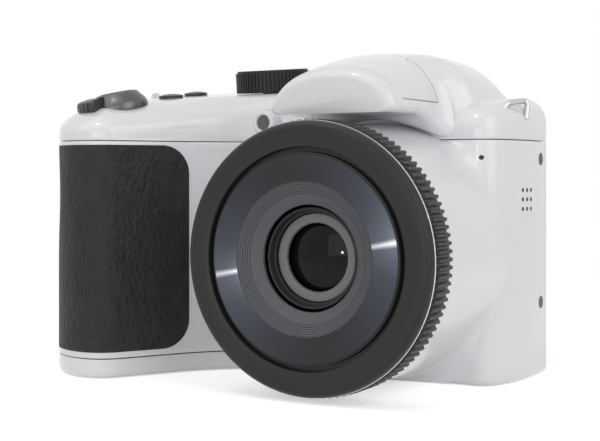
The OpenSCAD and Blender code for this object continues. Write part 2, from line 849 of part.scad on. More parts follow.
module lens_front_ring() {
    h1 = ring_h;
    h0 = ring_h - ring_t;
    color("#222222") on_lens() rotate_extrude() polygon([[ring_ri, h0], [ring_ri, h1 - 0.3], [ring_ri + 0.3, h1],
        [ring_ro, h1], [ring_r - 0.1, h0 + 0.3], [ring_r - 0.1, h0]]);
}

module lens_trim_ring() {
    color("silver") on_lens() ring(ring_ri + 1, ring_r, ring_h - ring_t - trim_t, ring_h - ring_t);
}

module ribbed_ring() {
    color("#262626") on_lens() difference() {
        union() {
            translate([0, 0, rib_h0]) linear_extrude(rib_len) toothed(rib_n, rib_r - 0.9, rib_r, 0.62, 0.4);
            translate([0, 0, rib_h0]) cylinder(r = rib_r - 1.4, h = rib_h1 - rib_h0);
        }
        translate([0, 0, rib_h0 - over]) cylinder(r = flange_r + fit, h = rib_h1 - rib_h0 + 2 * over);
    }
}

module lens_tube() {
    color("#303030") on_lens() rotate_extrude() polygon([[tube_ri, -base_y], [tube_ro, -base_y], [tube_ro, rib_h0 - 0.4],
        [flange_r, rib_h0 - 0.4], [flange_r, rib_h1], [ring_ri + 1 - fit, rib_h1],
        [ring_ri + 1 - fit, rib_h1 + trim_t], [tube_ri, rib_h1 + trim_t]]);
}

module cam_ring() {
    color("#5a5a5a") on_lens() union() {
        ring(cam_ri, cam_ro, -gear_y0 - gear_w, rib_h0 - 0.4 - gap);
        translate([0, 0, -gear_y0 - gear_w]) difference() {
            linear_extrude(gear_w) toothed(gear_n, gear_r - 1.25 * gear_m, gear_r + gear_m, 0.5, 0.2);
            translate([0, 0, -over]) cylinder(r = cam_ri, h = gear_w + 2 * over);
        }
    }
}

module drive_pinion() {
    mesh_a = drive_a + 180;
    lead = (drive_a * gear_n / 360 - floor(drive_a * gear_n / 360)) * 360 / pin_n;
    color("gold") translate([drive_x, 0, drive_z]) rotate([90, 0, 0]) union() {
        translate([0, 0, -gear_y0 - gear_w + 0.2])
            rotate([0, 0, mesh_a + 180 / pin_n + lead])
                linear_extrude(gear_w - 0.4) toothed(pin_n, pinion_r - 1.25 * gear_m, pinion_r + gear_m, 0.56, 0.16);
        translate([0, 0, -base_y - base_t - 2.5]) cylinder(r = shaft_r, h = base_y + base_t + 2.5 - gear_y0 + 0.8);
    }
}

module zoom_motor() {
    color("silver") difference() {
        along_y(drive_x, drive_z, motor_r, base_y + base_t, base_y + base_t + motor_len);
        along_y(drive_x, drive_z, shaft_r + run, base_y, base_y + base_t + 2.8);
    }
}

module outer_barrel() {
    h0 = ring_h - barrel_len;
    color("#464b52") on_lens() union() {
        ring(barrel_r - barrel_t, barrel_r, h0, ring_h);
        ring(baffle_r + fit, barrel_r - 0.2, ring_h - barrel_face, ring_h);
        ring(inner_r + 0.08, barrel_r - 0.2, guide_h1 - guide_t, guide_h1);
    }
}

module baffle_ring() {
    steps = [for (k = [0 : baffle_n - 1]) each [
        [baffle_r + (baffle_ri - baffle_r) * k / baffle_n, ring_h - baffle_d * k / baffle_n],
        [baffle_r + (baffle_ri - baffle_r) * (k + 0.6) / baffle_n, ring_h - baffle_d * (k + 0.15) / baffle_n]]];
    color("#8a8d92") on_lens() rotate_extrude() polygon(concat(steps,
        [[baffle_ri, ring_h - baffle_d], [baffle_ri, ring_h - baffle_d - baffle_t],
            [baffle_r, ring_h - baffle_face_t()]]));
}

function baffle_face_t() = barrel_face;

module inner_barrel() {
    color("#3c3c3f") on_lens() union() {
        ring(inner_ri, inner_r, inner_h1 - inner_len, inner_h1);
        ring(glass_r + fit, inner_r - 0.2, cell_h1 - cell_t, cell_h1);
    }
}

module element_bezel() {
    color("#77797d") on_lens() ring(glass_r, inner_ri - fit, cell_h1, cell_h1 + bezel_t);
}

module front_element() {
    rise = 0.8;
    color("#1c2a26") on_lens() rotate_extrude() polygon(concat(
        [[0, cell_h1 - cell_t + 0.5], [glass_r - fit, cell_h1 - cell_t + 0.5]],
        [for (k = [0 : 8]) let (t = 1 - k / 8) [(glass_r - fit) * t, cell_h1 - 0.3 + rise * (1 - t * t)]]));
}

module shutter_unit() {
    color("#202020") on_lens() ring(3, inner_ri - fit, inner_h1 - inner_len + 9, inner_h1 - inner_len + 12);
}

module focus_carriage() {
    color("#333333") difference() {
        box([lens_x - rod_x - 2.4, carriage_y, lens_z - 7], [lens_x + rod_x + 2.4, carriage_y + carriage_t, lens_z + 7]);
        along_y(lens_x, lens_z, focus_r + fit, carriage_y - over, carriage_y + carriage_t + over);
        for (s = [-1, 1])
            along_y(lens_x + s * rod_x, lens_z, rod_r + run, carriage_y - over, carriage_y + carriage_t + over);
    }
}

module focus_lens() {
    color("lightsteelblue") along_y(lens_x, lens_z, focus_r, carriage_y + 0.3, carriage_y + carriage_t - 0.3);
}

module guide_rods() {
    color("silver") for (s = [-1, 1])
        along_y(lens_x + s * rod_x, lens_z, rod_r, rod_y0, base_y + base_t - 0.5);
}

module lens_base() {
    color("#4a4a4a") difference() {
        union() {
            along_y(lens_x, lens_z, base_r, base_y, base_y + base_t);
            along_y(drive_x, drive_z, motor_r + 0.8, base_y, base_y + base_t);
            for (s = [-1, 1], t = [-1, 1])
                along_y(lens_x + s * 21, lens_z + t * 17, post_r, base_y, main_y);
        }
        along_y(lens_x, lens_z, 4.6, base_y - over, base_y + base_t + over);
        along_y(drive_x, drive_z, shaft_r + run, base_y - over, base_y + base_t + over);
        for (s = [-1, 1])
            along_y(lens_x + s * rod_x, lens_z, rod_r + 0.01, base_y - over, base_y + base_t - 0.5);
    }
}

module image_sensor() {
    color("#27364a") box([lens_x - 6, base_y + base_t, lens_z - 5], [lens_x + 6, base_y + base_t + sensor_t, lens_z + 5]);
}

module sensor_board() {
    y0 = base_y + base_t + sensor_t;
    color("darkgreen") box([lens_x - 13, y0, lens_z - 10], [lens_x + 13, y0 + board_t, lens_z + 10]);
}

module main_board() {
    color("darkgreen") box([lens_x - 46.5, main_y, 9], [hw - wall - boss_w - 1.3, main_y + board_t, seam_z - 4]);
}

module flash_capacitor() {
    r = 5;
    color("#222233") translate([lens_x - 41, main_y - r - fit, 10]) cylinder(r = r, h = 34);
}

// Flash

module flash_lid() {
    color("white") difference() {
        union() {
            intersection() {
                difference() {
                    hump_solid(0);
                    difference() {
                        hump_solid(lid_t);
                        for (s = [-1, 1])
                            box([lens_x + s * 10 - 1, hinge_y - 15, head_z1], [lens_x + s * 10 + 1, hinge_y - 10, total_h]);
                    }
                }
                along_x(hinge_y, hinge_z, lid_reach, lens_x - hw, lens_x + hw);
                box([lens_x - hw, hump_y0, lid_z], [lens_x + hw, hinge_y, total_h + over]);
            }
            along_x(hinge_y, hinge_z, knuckle_r, lens_x - knuckle_x[0], lens_x + knuckle_x[0]);
        }
        along_x(hinge_y, hinge_z, pin_r + run, lens_x - hw, lens_x + hw);
        for (s = [-1, 1])
            along_x(hinge_y, hinge_z, knuckle_r + gap, lens_x + (s > 0 ? knuckle_x[0] + gap / 2 : -knuckle_x[1] - gap),
                lens_x + (s > 0 ? knuckle_x[1] + gap : -knuckle_x[0] - gap / 2));
    }
}

head_z0 = lid_z + 0.3;
head_z1 = head_z0 + 3.6;
head_y0 = hinge_y - 17;
head_y1 = hinge_y - 8;
head_w = 11;

module flash_head() {
    color("#2a2a2a") difference() {
        box([lens_x - head_w, head_y0, head_z0], [lens_x + head_w, head_y1, head_z1]);
        box([lens_x - head_w + 1.2, head_y0 - over, head_z0 + 1], [lens_x + head_w - 1.2, head_y0 + 5, head_z1 - 1]);
    }
}

module flash_window() {
    color("white") box([lens_x - head_w + 0.4, head_y0 - 0.9, head_z0 + 0.5],
        [lens_x + head_w - 0.4, head_y0, head_z1 - 0.3]);
}

module flash_hinge_pin() {
    color("silver") along_x(hinge_y, hinge_z, pin_r, lens_x - knuckle_x[1] + 0.2, lens_x + knuckle_x[1] - 0.2);
}

// Small pieces on the covers

module focus_lamp() {
    color("orange") along_y(lamp_x, lamp_z, lamp_r, lamp_y + 0.6, lamp_y + 3.5);
}

module microphone() {
    color("silver") along_y(mic_p[0], mic_p[1], 1.8, front_y + 5.2, front_y + 7);
}

module speaker() {
    color("#333333") along_x(speaker_y, speaker_z, speaker_r, hw - wall - 4.6, hw - wall - 1.8);
}

// Controls on the deck

module mode_dial() {
    color("#1e1e1e") on_deck(dial_p) union() {
        translate([0, 0, gap]) linear_extrude(dial_h - 0.6) toothed(dial_n, dial_r - 0.4, dial_r, 0.7, 0.45);
        translate([0, 0, gap]) cylinder(r = dial_r - 0.5, h = dial_h);
        translate([0, 0, -3 * wall]) cylinder(r = dial_shaft, h = 3 * wall + 1);
    }
}

module zoom_lever() {
    color("#242424") on_deck(lever_p) difference() {
        union() {
            translate([0, 0, gap]) cylinder(r = lever_ro, h = 3);
            translate([0, 0, -2 * wall]) cylinder(r = lever_ri + sleeve_t, h = 2 * wall + 1);
            rotate([0, 0, tab_a]) translate([lever_ri + 1, -tab_w / 2, gap]) cube([tab_r - lever_ri - 1, tab_w, 2.6]);
        }
        translate([0, 0, -3 * wall]) cylinder(r = lever_ri, h = 6 * wall);
        for (k = [-2 : 2])
            rotate([0, 0, tab_a]) translate([lever_ro - 0.3, k * 1.3 - 0.25, gap + 1]) cube([tab_r, 0.5, 3]);
    }
}

module shutter_button() {
    bowl = 16;
    color("#2c2c2c") on_deck(lever_p) difference() {
        translate([0, 0, 1 - deck_board + board_t]) cylinder(r = shutter_r, h = deck_board - board_t - 1 + 3.9);
        translate([0, 0, 3.3 + bowl]) sphere(r = bowl);
    }
}

module deck_button(p) {
    crown = 12;
    on_deck(p) union() {
        intersection() {
            translate([0, 0, -wall - 0.5]) cylinder(r = deck_btn_r, h = wall + 2);
            translate([0, 0, 1.3 - crown]) sphere(r = crown);
        }
        translate([0, 0, -wall - 0.1 - flange_t]) cylinder(r = deck_btn_r + flange_w, h = flange_t);
        translate([0, 0, board_t - deck_board + 0.8]) cylinder(r = 1.5, h = deck_board - board_t - wall - 1);
    }
}

module power_button() {
    color("gainsboro") deck_button(power_p);
}

module burst_button() {
    color("gainsboro") deck_button(burst_p);
}

module switch_board() {
    color("darkgreen") intersection() {
        translate([0, 0, deck_z]) rotate([deck_tilt, 0, 0])
            box([-hw + 7.35, grip_y + 13, -deck_board], [-hw + 27.35, back_y - 16, board_t - deck_board]);
        prism(wall + 1, seam_z - over, total_h);
    }
}

// Back face

module button_board() {
    color("darkgreen") box([-hw + 8.35, bb_y, 7], [-hw + 36.35, bb_y + bb_t, seam_z - 3]);
}

module back_button(p) {
    along_y(p[0], p[1], back_btn_r, back_in - 0.5, back_y + btn_out);
    along_y(p[0], p[1], back_btn_r + flange_w, back_in - 0.1 - flange_t, back_in - 0.1);
}

module record_button() {
    color("red") back_button(record_p);
}

module menu_button() {
    color("dimgray") back_button(menu_p);
}

module display_button() {
    color("dimgray") back_button(display_p);
}

module play_button() {
    color("dimgray") back_button(play_p);
}

module delete_button() {
    color("dimgray") back_button(delete_p);
}

module four_way_pad() {
    color("dimgray") difference() {
        union() {
            along_y(pad_c[0], pad_c[1], pad_r, back_in - 1.5, back_y + btn_out);
            along_y(pad_c[0], pad_c[1], pad_r + flange_w, back_in - 1.6, back_in - 0.6);
        }
        along_y(pad_c[0], pad_c[1], pad_ri, back_in - 2 * wall, back_y + 2 * wall);
    }
}

module ok_button() {
    color("gainsboro") along_y(pad_c[0], pad_c[1], ok_r, bb_y + bb_t + 0.5, back_y + btn_out - 0.2);
}

module display_panel() {
    x = lcd_c[0];
    z = lcd_c[1];
    color("#15181c") union() {
        box([x - lcd_w / 2, back_in - lcd_t, z - lcd_h / 2], [x + lcd_w / 2, back_in, z + lcd_h / 2]);
        box([x - lcd_w / 2 + lcd_lip + fit, back_in - fit, z - lcd_h / 2 + lcd_lip + fit],
            [x + lcd_w / 2 - lcd_lip - fit, back_y - window_t, z + lcd_h / 2 - lcd_lip - fit]);
        box([x - lcd_w / 2, back_y - window_t, z - lcd_h / 2], [x + lcd_w / 2, back_y, z + lcd_h / 2]);
    }
}

front_cover();
top_cover();
back_cover();
grip_rubber();
battery_door();
battery_latch();
door_hinge_pin();
door_contacts();
battery_contacts();
battery_chamber();
battery_cells();
card_socket();
usb_socket();
port_flap();
tripod_bush();
case_screws();
strap_lugs();
lens_front_ring();
lens_trim_ring();
ribbed_ring();
lens_tube();
cam_ring();
drive_pinion();
zoom_motor();
outer_barrel();
baffle_ring();
inner_barrel();
element_bezel();
front_element();
shutter_unit();
focus_carriage();
focus_lens();
guide_rods();
lens_base();
image_sensor();
sensor_board();
main_board();
flash_capacitor();
flash_lid();
flash_head();
flash_window();
flash_hinge_pin();
focus_lamp();
microphone();
speaker();
mode_dial();
zoom_lever();
shutter_button();
power_button();
burst_button();
switch_board();
button_board();
record_button();
menu_button();
display_button();
play_button();
delete_button();
four_way_pad();
ok_button();
display_panel();
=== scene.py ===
import math

import bmesh
import bpy
import numpy as np
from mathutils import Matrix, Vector


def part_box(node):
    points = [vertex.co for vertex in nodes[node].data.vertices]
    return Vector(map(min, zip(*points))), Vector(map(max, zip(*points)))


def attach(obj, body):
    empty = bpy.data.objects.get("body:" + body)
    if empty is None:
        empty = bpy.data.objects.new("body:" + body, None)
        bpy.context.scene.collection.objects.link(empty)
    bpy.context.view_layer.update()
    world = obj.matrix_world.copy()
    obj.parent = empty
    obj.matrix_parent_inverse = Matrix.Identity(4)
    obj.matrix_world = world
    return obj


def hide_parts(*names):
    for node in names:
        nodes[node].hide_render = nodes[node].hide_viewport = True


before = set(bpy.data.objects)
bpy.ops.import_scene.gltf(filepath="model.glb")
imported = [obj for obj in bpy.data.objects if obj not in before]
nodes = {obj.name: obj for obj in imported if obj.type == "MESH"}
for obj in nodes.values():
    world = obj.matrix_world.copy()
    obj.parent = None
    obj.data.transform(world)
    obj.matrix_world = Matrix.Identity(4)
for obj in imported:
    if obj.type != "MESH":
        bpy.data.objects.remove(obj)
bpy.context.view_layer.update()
print("frame loaded:", len(nodes), "nodes")


# driving values, millimetres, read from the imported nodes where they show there
def nodeBox(name):  # low and high corner of a node
    low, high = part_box(name)
    return np.array(low) * 1000, np.array(high) * 1000


case = {
    "depth": 35.0, "seam": 0.2, "wall": 1.5,  # front to back without the grip, gap between the covers
    "sideA": 9.35, "sideB": 28.5, "sideE": 2.6,  # soft corner on the lens side
    "rearR": 6.0, "rearL": 8.0,  # rear corners
    "palmA": 18.0, "palmB": 19.0, "gripFlat": 0.35,  # palm side of the grip
    "tipR": 9.0, "flank": 59.0, "pocketR": 39.0,  # grip tip, flank and finger pocket
    "footR": 1.6, "lipR": 0.25, "turnIn": 1.2,  # rounded foot and lip of a wall, and its turned-in edges
    "waist": 0.9, "waistZ": 47.0, "waistTall": 9.0, "waistIn": 9.0,  # draw of the palm side at finger height
    "deckZ": 74.0, "slope": math.tan(math.radians(5.7)),  # the deck falls to the front
}
door = {
    "edge": 0.6,  # its hinged edge lies this far inside its node's box
    "gapHinge": 1.1,  # room for that edge, which swings up beside the hinge
    "wall": 1.2, "gap": 0.25,
}

topLow, topHigh = nodeBox("top_cover")
ribLow, ribHigh = nodeBox("ribbed_ring")
rubberLow, rubberHigh = nodeBox("grip_rubber")
doorX, doorY, doorZ = nodeBox("battery_door")[1] - np.array([door["edge"], 0, 0])
splitY = nodeBox("front_cover")[1][1]
halfW = topHigh[0]
backY = topHigh[1]
gripY = topLow[1]
seamZ = topLow[2] - case["seam"]
peakZ = topHigh[2]
lensX = (ribLow[0] + ribHigh[0]) / 2
lensZ = (ribLow[2] + ribHigh[2]) / 2
frontY = backY - case["depth"]


def ease(t):  # 0 to 1 with level ends
    u = np.clip(t, 0, 1)
    return u * u * (3 - 2 * u)


def blend(v, start, run):  # eased share of a run, which may fall
    return ease((v - start) / run)


def circle(n):  # n angles all round, as one row
    return np.linspace(0, 2 * np.pi, n + 1)[None, :-1]


# mesh helpers
def gridFaces(rows, cols, start, wrap):  # quads of a rows x cols grid, counted row by row
    r, c = np.meshgrid(np.arange(rows - 1), np.arange(cols if wrap else cols - 1), indexing="ij")
    a = start + r * cols + c
    b = start + r * cols + (c + 1) % cols
    return np.stack([a, b, b + cols, a + cols], -1).reshape(-1, 4)


class Shape:  # collects grids and polygons of one piece, in millimetres
    def __init__(self):
        self.points = []
        self.faces = []
        self.count = 0

    def add(self, pts):
        pts = np.asarray(pts, float).reshape(-1, 3)
        first = self.count
        self.points.append(pts)
        self.count += len(pts)
        return first

    def grid(self, pts, wrap=False, flip=False):
        rows, cols = pts.shape[:2]
        quads = gridFaces(rows, cols, self.add(pts), wrap)
        self.faces += (quads[:, ::-1] if flip else quads).tolist()

    def polygon(self, pts, flip=False):
        ids = list(range(self.add(pts), self.count))
        self.faces.append(ids[::-1] if flip else ids)

    def plate(self, ring):  # flat face on the floor, looking down
        self.polygon(np.c_[ring, np.zeros(len(ring))], flip=True)

    def closed(self, rings):  # tube of rings, shut by a face at each end
        self.grid(rings, wrap=True, flip=True)
        self.polygon(rings[0])
        self.polygon(rings[-1], flip=True)


def makePiece(name, shape, material, body, replaced=(), thick=0.0, sharp=35.0):
    mergeGap = 0.004  # points closer than this become one
    mesh = bpy.data.meshes.new(name)
    mesh.from_pydata((np.concatenate(shape.points) / 1000).tolist(), [], shape.faces)
    obj = bpy.data.objects.new(name, mesh)
    bpy.context.scene.collection.objects.link(obj)
    bm = bmesh.new()
    bm.from_mesh(mesh)
    bmesh.ops.remove_doubles(bm, verts=bm.verts, dist=mergeGap / 1000)
    bmesh.ops.dissolve_degenerate(bm, edges=bm.edges, dist=1e-7)
    bm.to_mesh(mesh)
    bm.free()
    mesh.polygons.foreach_set("use_smooth", np.ones(len(mesh.polygons), bool))
    mesh.set_sharp_from_angle(angle=math.radians(sharp))
    mesh.materials.append(material)
    if thick:
        solid = obj.modifiers.new("wall", "SOLIDIFY")
        solid.thickness = thick / 1000
        solid.offset = -1
    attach(obj, body)
    if replaced:
        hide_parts(*replaced)


# materials: every finish is a Principled shader with its own colour drift and relief
def addNode(tree, kind, sockets, **settings):  # one node, each socket set to a value or linked to an output
    node = tree.nodes.new(kind)
    for key, value in settings.items():
        setattr(node, key, value)
    for key, value in sockets.items():
        if isinstance(value, bpy.types.NodeSocket):
            tree.links.new(value, node.inputs[key])
        else:
            node.inputs[key].default_value = value
    return node


def rampOf(tree, value, stops):  # colour ramp with (place, colour) stops, its two ends first
    ramp = addNode(tree, "ShaderNodeValToRGB", {"Fac": value})
    for i, (place, colour) in enumerate(stops):
        stop = ramp.color_ramp.elements[i] if i < 2 else ramp.color_ramp.elements.new(place)
        stop.position = place
        stop.color = (*colour, 1)
    return ramp.outputs["Color"]


def finish(name, colour, rough, metal=0.0, drift=0.03, driftSize=40.0, grain=0.0, grainSize=800.0,
           coat=0.0, gloss=0.5, **sockets):  # broad noise moves colour and roughness, fine noise is the grain
    k = {"coatRough": 0.04, "roughDrift": 0.04, "ends": (0.35, 0.65), "grainDeep": 0.0002}
    mat = bpy.data.materials.new(name)
    mat.use_nodes = True
    tree = mat.node_tree
    shader = tree.nodes["Principled BSDF"]
    shader.inputs["Metallic"].default_value = metal
    shader.inputs["Specular IOR Level"].default_value = gloss
    shader.inputs["Coat Weight"].default_value = coat
    shader.inputs["Coat Roughness"].default_value = k["coatRough"]
    for key, value in sockets.items():
        shader.inputs[key].default_value = value
    place = tree.nodes.new("ShaderNodeTexCoord").outputs["Object"]
    broad = addNode(tree, "ShaderNodeTexNoise", {"Vector": place, "Scale": driftSize, "Detail": 5.0})
    noise = broad.outputs["Fac"]
    low = [max(c * (1 - drift), 0) for c in colour]
    high = [min(c * (1 + drift), 1) for c in colour]
    tree.links.new(rampOf(tree, noise, zip(k["ends"], (low, high))), shader.inputs["Base Color"])
    span = addNode(tree, "ShaderNodeMapRange", {
        "Value": noise,
        "To Min": max(rough - k["roughDrift"], 0.02),
        "To Max": min(rough + k["roughDrift"], 1),
    })
    tree.links.new(span.outputs["Result"], shader.inputs["Roughness"])
    if grain:
        fine = addNode(tree, "ShaderNodeTexNoise", {"Vector": place, "Scale": grainSize, "Detail": 3.0})
        relief = {"Height": fine.outputs["Fac"], "Strength": grain, "Distance": k["grainDeep"]}
        bump = addNode(tree, "ShaderNodeBump", relief)
        tree.links.new(bump.outputs["Normal"], shader.inputs["Normal"])
    return mat


def leatherRubber():  # pebbled leather grain: cells bent by noise, and the same noise as creases over them
    k = {"squash": (1.0, 1.0, 0.62), "creases": 420, "bend": 0.0012, "pebbles": 950}
    mat = finish("gripLeather", (0.020, 0.0195, 0.0195), 0.55, drift=0.25, driftSize=260, gloss=0.28)
    tree = mat.node_tree
    place = tree.nodes["Texture Coordinate"].outputs["Object"]
    flat = addNode(tree, "ShaderNodeMapping", {"Vector": place, "Scale": k["squash"]}).outputs["Vector"]
    warp = addNode(tree, "ShaderNodeTexNoise", {"Vector": flat, "Scale": k["creases"], "Detail": 4})
    shift = {0: warp.outputs["Color"], 1: (k["bend"], k["bend"], k["bend"]), 2: flat}
    bent = addNode(tree, "ShaderNodeVectorMath", shift, operation="MULTIPLY_ADD").outputs["Vector"]
    spots = {"Vector": bent, "Scale": k["pebbles"], "Smoothness": 0.35}
    cells = addNode(tree, "ShaderNodeTexVoronoi", spots, feature="SMOOTH_F1").outputs["Distance"]
    relief = {"Height": cells, "Strength": 0.75, "Distance": 0.00035}
    hard = addNode(tree, "ShaderNodeBump", relief, invert=True).outputs["Normal"]
    relief = {"Height": warp.outputs["Fac"], "Normal": hard, "Strength": 0.5, "Distance": 0.0005}
    soft = addNode(tree, "ShaderNodeBump", relief)
    tree.links.new(soft.outputs["Normal"], tree.nodes["Principled BSDF"].inputs["Normal"])
    return mat


def aboutLens(tree):  # offset of a point from the lens axis, in the plane across it, and its length
    place = tree.nodes["Texture Coordinate"].outputs["Object"]
    across = {0: place, 1: (1, 0, 1), 2: (-lensX / 1000, 0, -lensZ / 1000)}
    offset = addNode(tree, "ShaderNodeVectorMath", across, operation="MULTIPLY_ADD").outputs["Vector"]
    radius = addNode(tree, "ShaderNodeVectorMath", {0: offset}, operation="LENGTH").outputs["Value"]
    return offset, radius


def spunPaintedGlints():  # turned dark metal with a painted highlight: two thin bright rays and a bluish halo painted into its colour, by the sine of the angle from them
    k = {
        "ray": math.radians(10.7), "paintedGlint": (0.62, 0.64, 0.68), "glow": (0.341, 0.352, 0.374),
        "paintedHalo": (0.093, 0.105, 0.129), "paintedSheen": (0.062, 0.070, 0.086), "dark": (0.038, 0.038, 0.042),
    }
    grooves = {"Anisotropic": 0.8, "Anisotropic Rotation": 0.25}
    mat = finish("spunMetalPaintedGlints", k["dark"], 0.36, metal=0.9, drift=0.06, driftSize=60, **grooves)
    tree = mat.node_tree
    shader = tree.nodes["Principled BSDF"]
    turn = addNode(tree, "ShaderNodeTangent", {}, direction_type="RADIAL", axis="Y")
    tree.links.new(turn.outputs["Tangent"], shader.inputs["Tangent"])
    offset, radius = aboutLens(tree)
    beside = {0: offset, 1: (-math.sin(k["ray"]), 0, math.cos(k["ray"]))}
    gap = addNode(tree, "ShaderNodeVectorMath", beside, operation="DOT_PRODUCT").outputs["Value"]
    sine = addNode(tree, "ShaderNodeMath", {0: gap, 1: radius}, operation="DIVIDE").outputs["Value"]
    size = addNode(tree, "ShaderNodeMath", {0: sine}, operation="ABSOLUTE").outputs["Value"]
    # painted highlight: bright glint on the rays, fading through a painted glow and a bluish halo to the dark
    # metal
    stops = ((0.0, k["paintedGlint"]), (1.0, k["dark"]), (0.020, k["glow"]), (0.045, k["paintedHalo"]), (0.35, k["paintedSheen"]))
    tree.links.new(rampOf(tree, size, stops), shader.inputs["Base Color"])
    return mat


def baffleFinish():  # grainy grey with fine dark lines, by the fraction of a count along the radius
    k = {"lines": 6, "from": 0.0149, "to": 0.0179}
    pale = (0.105, 0.108, 0.118)
    dark = (0.022, 0.022, 0.024)
    mat = finish("baffleGrey", pale, 0.5, drift=0.06, grain=0.25, grainSize=3500, gloss=0.3)
    tree = mat.node_tree
    run = {"Value": aboutLens(tree)[1], "From Min": k["from"], "From Max": k["to"], "To Max": k["lines"]}
    count = addNode(tree, "ShaderNodeMapRange", run).outputs["Result"]
    part = addNode(tree, "ShaderNodeMath", {0: count}, operation="FRACT").outputs["Value"]
    stops = ((0.0, pale), (1.0, pale), (0.30, pale), (0.42, dark), (0.62, dark), (0.74, pale))
    tree.links.new(rampOf(tree, part, stops), tree.nodes["Principled BSDF"].inputs["Base Color"])
    return mat


white = finish("glossWhite", (0.80, 0.80, 0.825), 0.20, drift=0.008, driftSize=25, grain=0.012, grainSize=300,
               coat=0.35)
rubber = leatherRubber()
satinBlack = finish("satinBlack", (0.024, 0.0235, 0.0235), 0.38, drift=0.08, grain=0.08, grainSize=2500,
                    gloss=0.25)
ribBlack = finish("ribBlack", (0.034, 0.033, 0.032), 0.45, drift=0.10, grain=0.12, grainSize=1800, gloss=0.25)
deepBlack = finish("deepBlack", (0.008, 0.008, 0.009), 0.5, drift=0.1)
brightTrim = finish("brightTrim", (0.78, 0.78, 0.80), 0.16, metal=1.0, drift=0.02)
spunWithPaintedGlints = spunPaintedGlints()
baffleGrey = baffleFinish()
bezelGrey = finish("bezelGrey", (0.17, 0.17, 0.18), 0.45, drift=0.04, grain=0.1, grainSize=3000)
controlDark = finish("controlDark", (0.045, 0.044, 0.044), 0.32, drift=0.06, grain=0.1, grainSize=2600,
                     gloss=0.35)
controlSteel = finish("controlSteel", (0.115, 0.115, 0.118), 0.28, metal=0.85, drift=0.04)
lugSteel = finish("lugSteel", (0.55, 0.55, 0.56), 0.25, metal=1.0, drift=0.04)
screwBlack = finish("screwBlack", (0.05, 0.05, 0.052), 0.35, metal=0.6, drift=0.08)
brassTurned = finish("turnedBrass", (0.72, 0.55, 0.28), 0.3, metal=1.0, drift=0.05)
boardGreen = finish("boardGreen", (0.03, 0.16, 0.08), 0.45, drift=0.2, driftSize=300)
cellWrap = finish("cellWrap", (0.10, 0.12, 0.15), 0.3, drift=0.1)
buttonGrey = finish("buttonGrey", (0.52, 0.52, 0.54), 0.33, drift=0.03, grain=0.06, grainSize=2500)
screenDark = finish("screenDark", (0.012, 0.012, 0.014), 0.08, drift=0.05, coat=0.6)
lampDark = finish("lampDark", (0.06, 0.055, 0.055), 0.12, drift=0.1, coat=0.8)
clearWindow = finish("clearWindow", (0.82, 0.82, 0.84), 0.15, drift=0.02, coat=0.5)
coatedGlass = finish("coatedGlass", (0.004, 0.006, 0.004), 0.03, drift=0.3, driftSize=160, gloss=0.16)
print("finishes ready")


# outline of the case in plan, anticlockwise, as dense points with outward normals
def arcPoints(cx, cy, rx, ry, a0, a1, n, e=2.0):  # arc of an ellipse, squarer where e is over 2
    a = np.radians(np.linspace(a0, a1, n))
    c, s = np.cos(a), np.sin(a)
    x = cx + rx * np.sign(c) * np.abs(c) ** (2 / e)
    y = cy + ry * np.sign(s) * np.abs(s) ** (2 / e)
    return np.stack([x, y], -1)


def runLength(pts):  # length along a line of points, from its first one
    return np.concatenate([[0], np.cumsum(np.linalg.norm(np.diff(pts, axis=0), axis=1))])


def planLoop(step=0.25, near=3):  # arcs joined by straight runs, spaced evenly, normals from neighbours
    k = case
    tip = np.array([-halfW + k["palmA"] + k["gripFlat"], gripY + k["tipR"]])
    f = math.radians(k["flank"])
    tipEnd = tip + k["tipR"] * np.array([math.sin(f), -math.cos(f)])
    pocketY = frontY - k["pocketR"]
    pocketX = tipEnd[0] + (k["pocketR"] + (pocketY - tipEnd[1]) * math.cos(f)) / math.sin(f)
    loop = np.concatenate([
        arcPoints(halfW - k["sideA"], frontY + k["sideB"], k["sideA"], k["sideB"], -90, 0, 400, k["sideE"]),
        arcPoints(halfW - k["rearR"], backY - k["rearR"], k["rearR"], k["rearR"], 0, 90, 60),
        arcPoints(-halfW + k["rearL"], backY - k["rearL"], k["rearL"], k["rearL"], 90, 180, 60),
        arcPoints(-halfW + k["palmA"], gripY + k["palmB"], k["palmA"], k["palmB"], 180, 270, 120),
        arcPoints(tip[0], tip[1], k["tipR"], k["tipR"], 270, 270 + k["flank"], 60),
        arcPoints(pocketX, pocketY, k["pocketR"], k["pocketR"], 90 + k["flank"], 90, 160),
    ])
    loop = np.concatenate([loop, loop[:1]])
    run = runLength(loop)
    keep = np.concatenate([[True], np.diff(run) > 1e-6])
    s = np.linspace(0, run[-1], int(run[-1] / step) + 1)[:-1]
    pts = np.stack([np.interp(s, run[keep], loop[keep, i]) for i in (0, 1)], -1)
    d = np.roll(pts, -near, 0) - np.roll(pts, near, 0)
    d /= np.linalg.norm(d, axis=1)[:, None]
    return pts, np.stack([d[:, 1], -d[:, 0]], -1)


outline, outward = planLoop()
outX, outY = outline.T


def stretchOf(keep):  # the run of outline points where keep holds, in order
    first = np.flatnonzero(keep & ~np.roll(keep, 1))[0]
    ids = (first + np.arange(keep.sum())) % len(keep)
    return outline[ids], outward[ids]


def wallRows(z0, z1, foot, n):  # heights and insets up a wall: rounded foot, plain run, rounded lip
    lip, turnIn = case["lipR"], case["turnIn"]
    a = np.linspace(0, np.pi / 2, 7)
    plain = np.linspace(z0 + foot, z1 - lip, n)[1:-1]
    z = np.concatenate([[z0], z0 + foot * (1 - np.cos(a)), plain, z1 - lip * (1 - np.sin(a)), [z1]])
    inFoot = np.concatenate([[foot + turnIn], foot * (1 - np.sin(a))])
    inLip = np.concatenate([lip * (1 - np.cos(a)), [lip + turnIn]])
    return z, np.concatenate([inFoot, 0 * plain, inLip])


def waist(x, z):  # the palm side is drawn in at finger height: a bell over the height, eased from the side
    bell = np.exp(-((z - case["waistZ"]) / case["waistTall"]) ** 2)
    return case["waist"] * bell * blend(x, -halfW + case["waistIn"], -case["waistIn"])


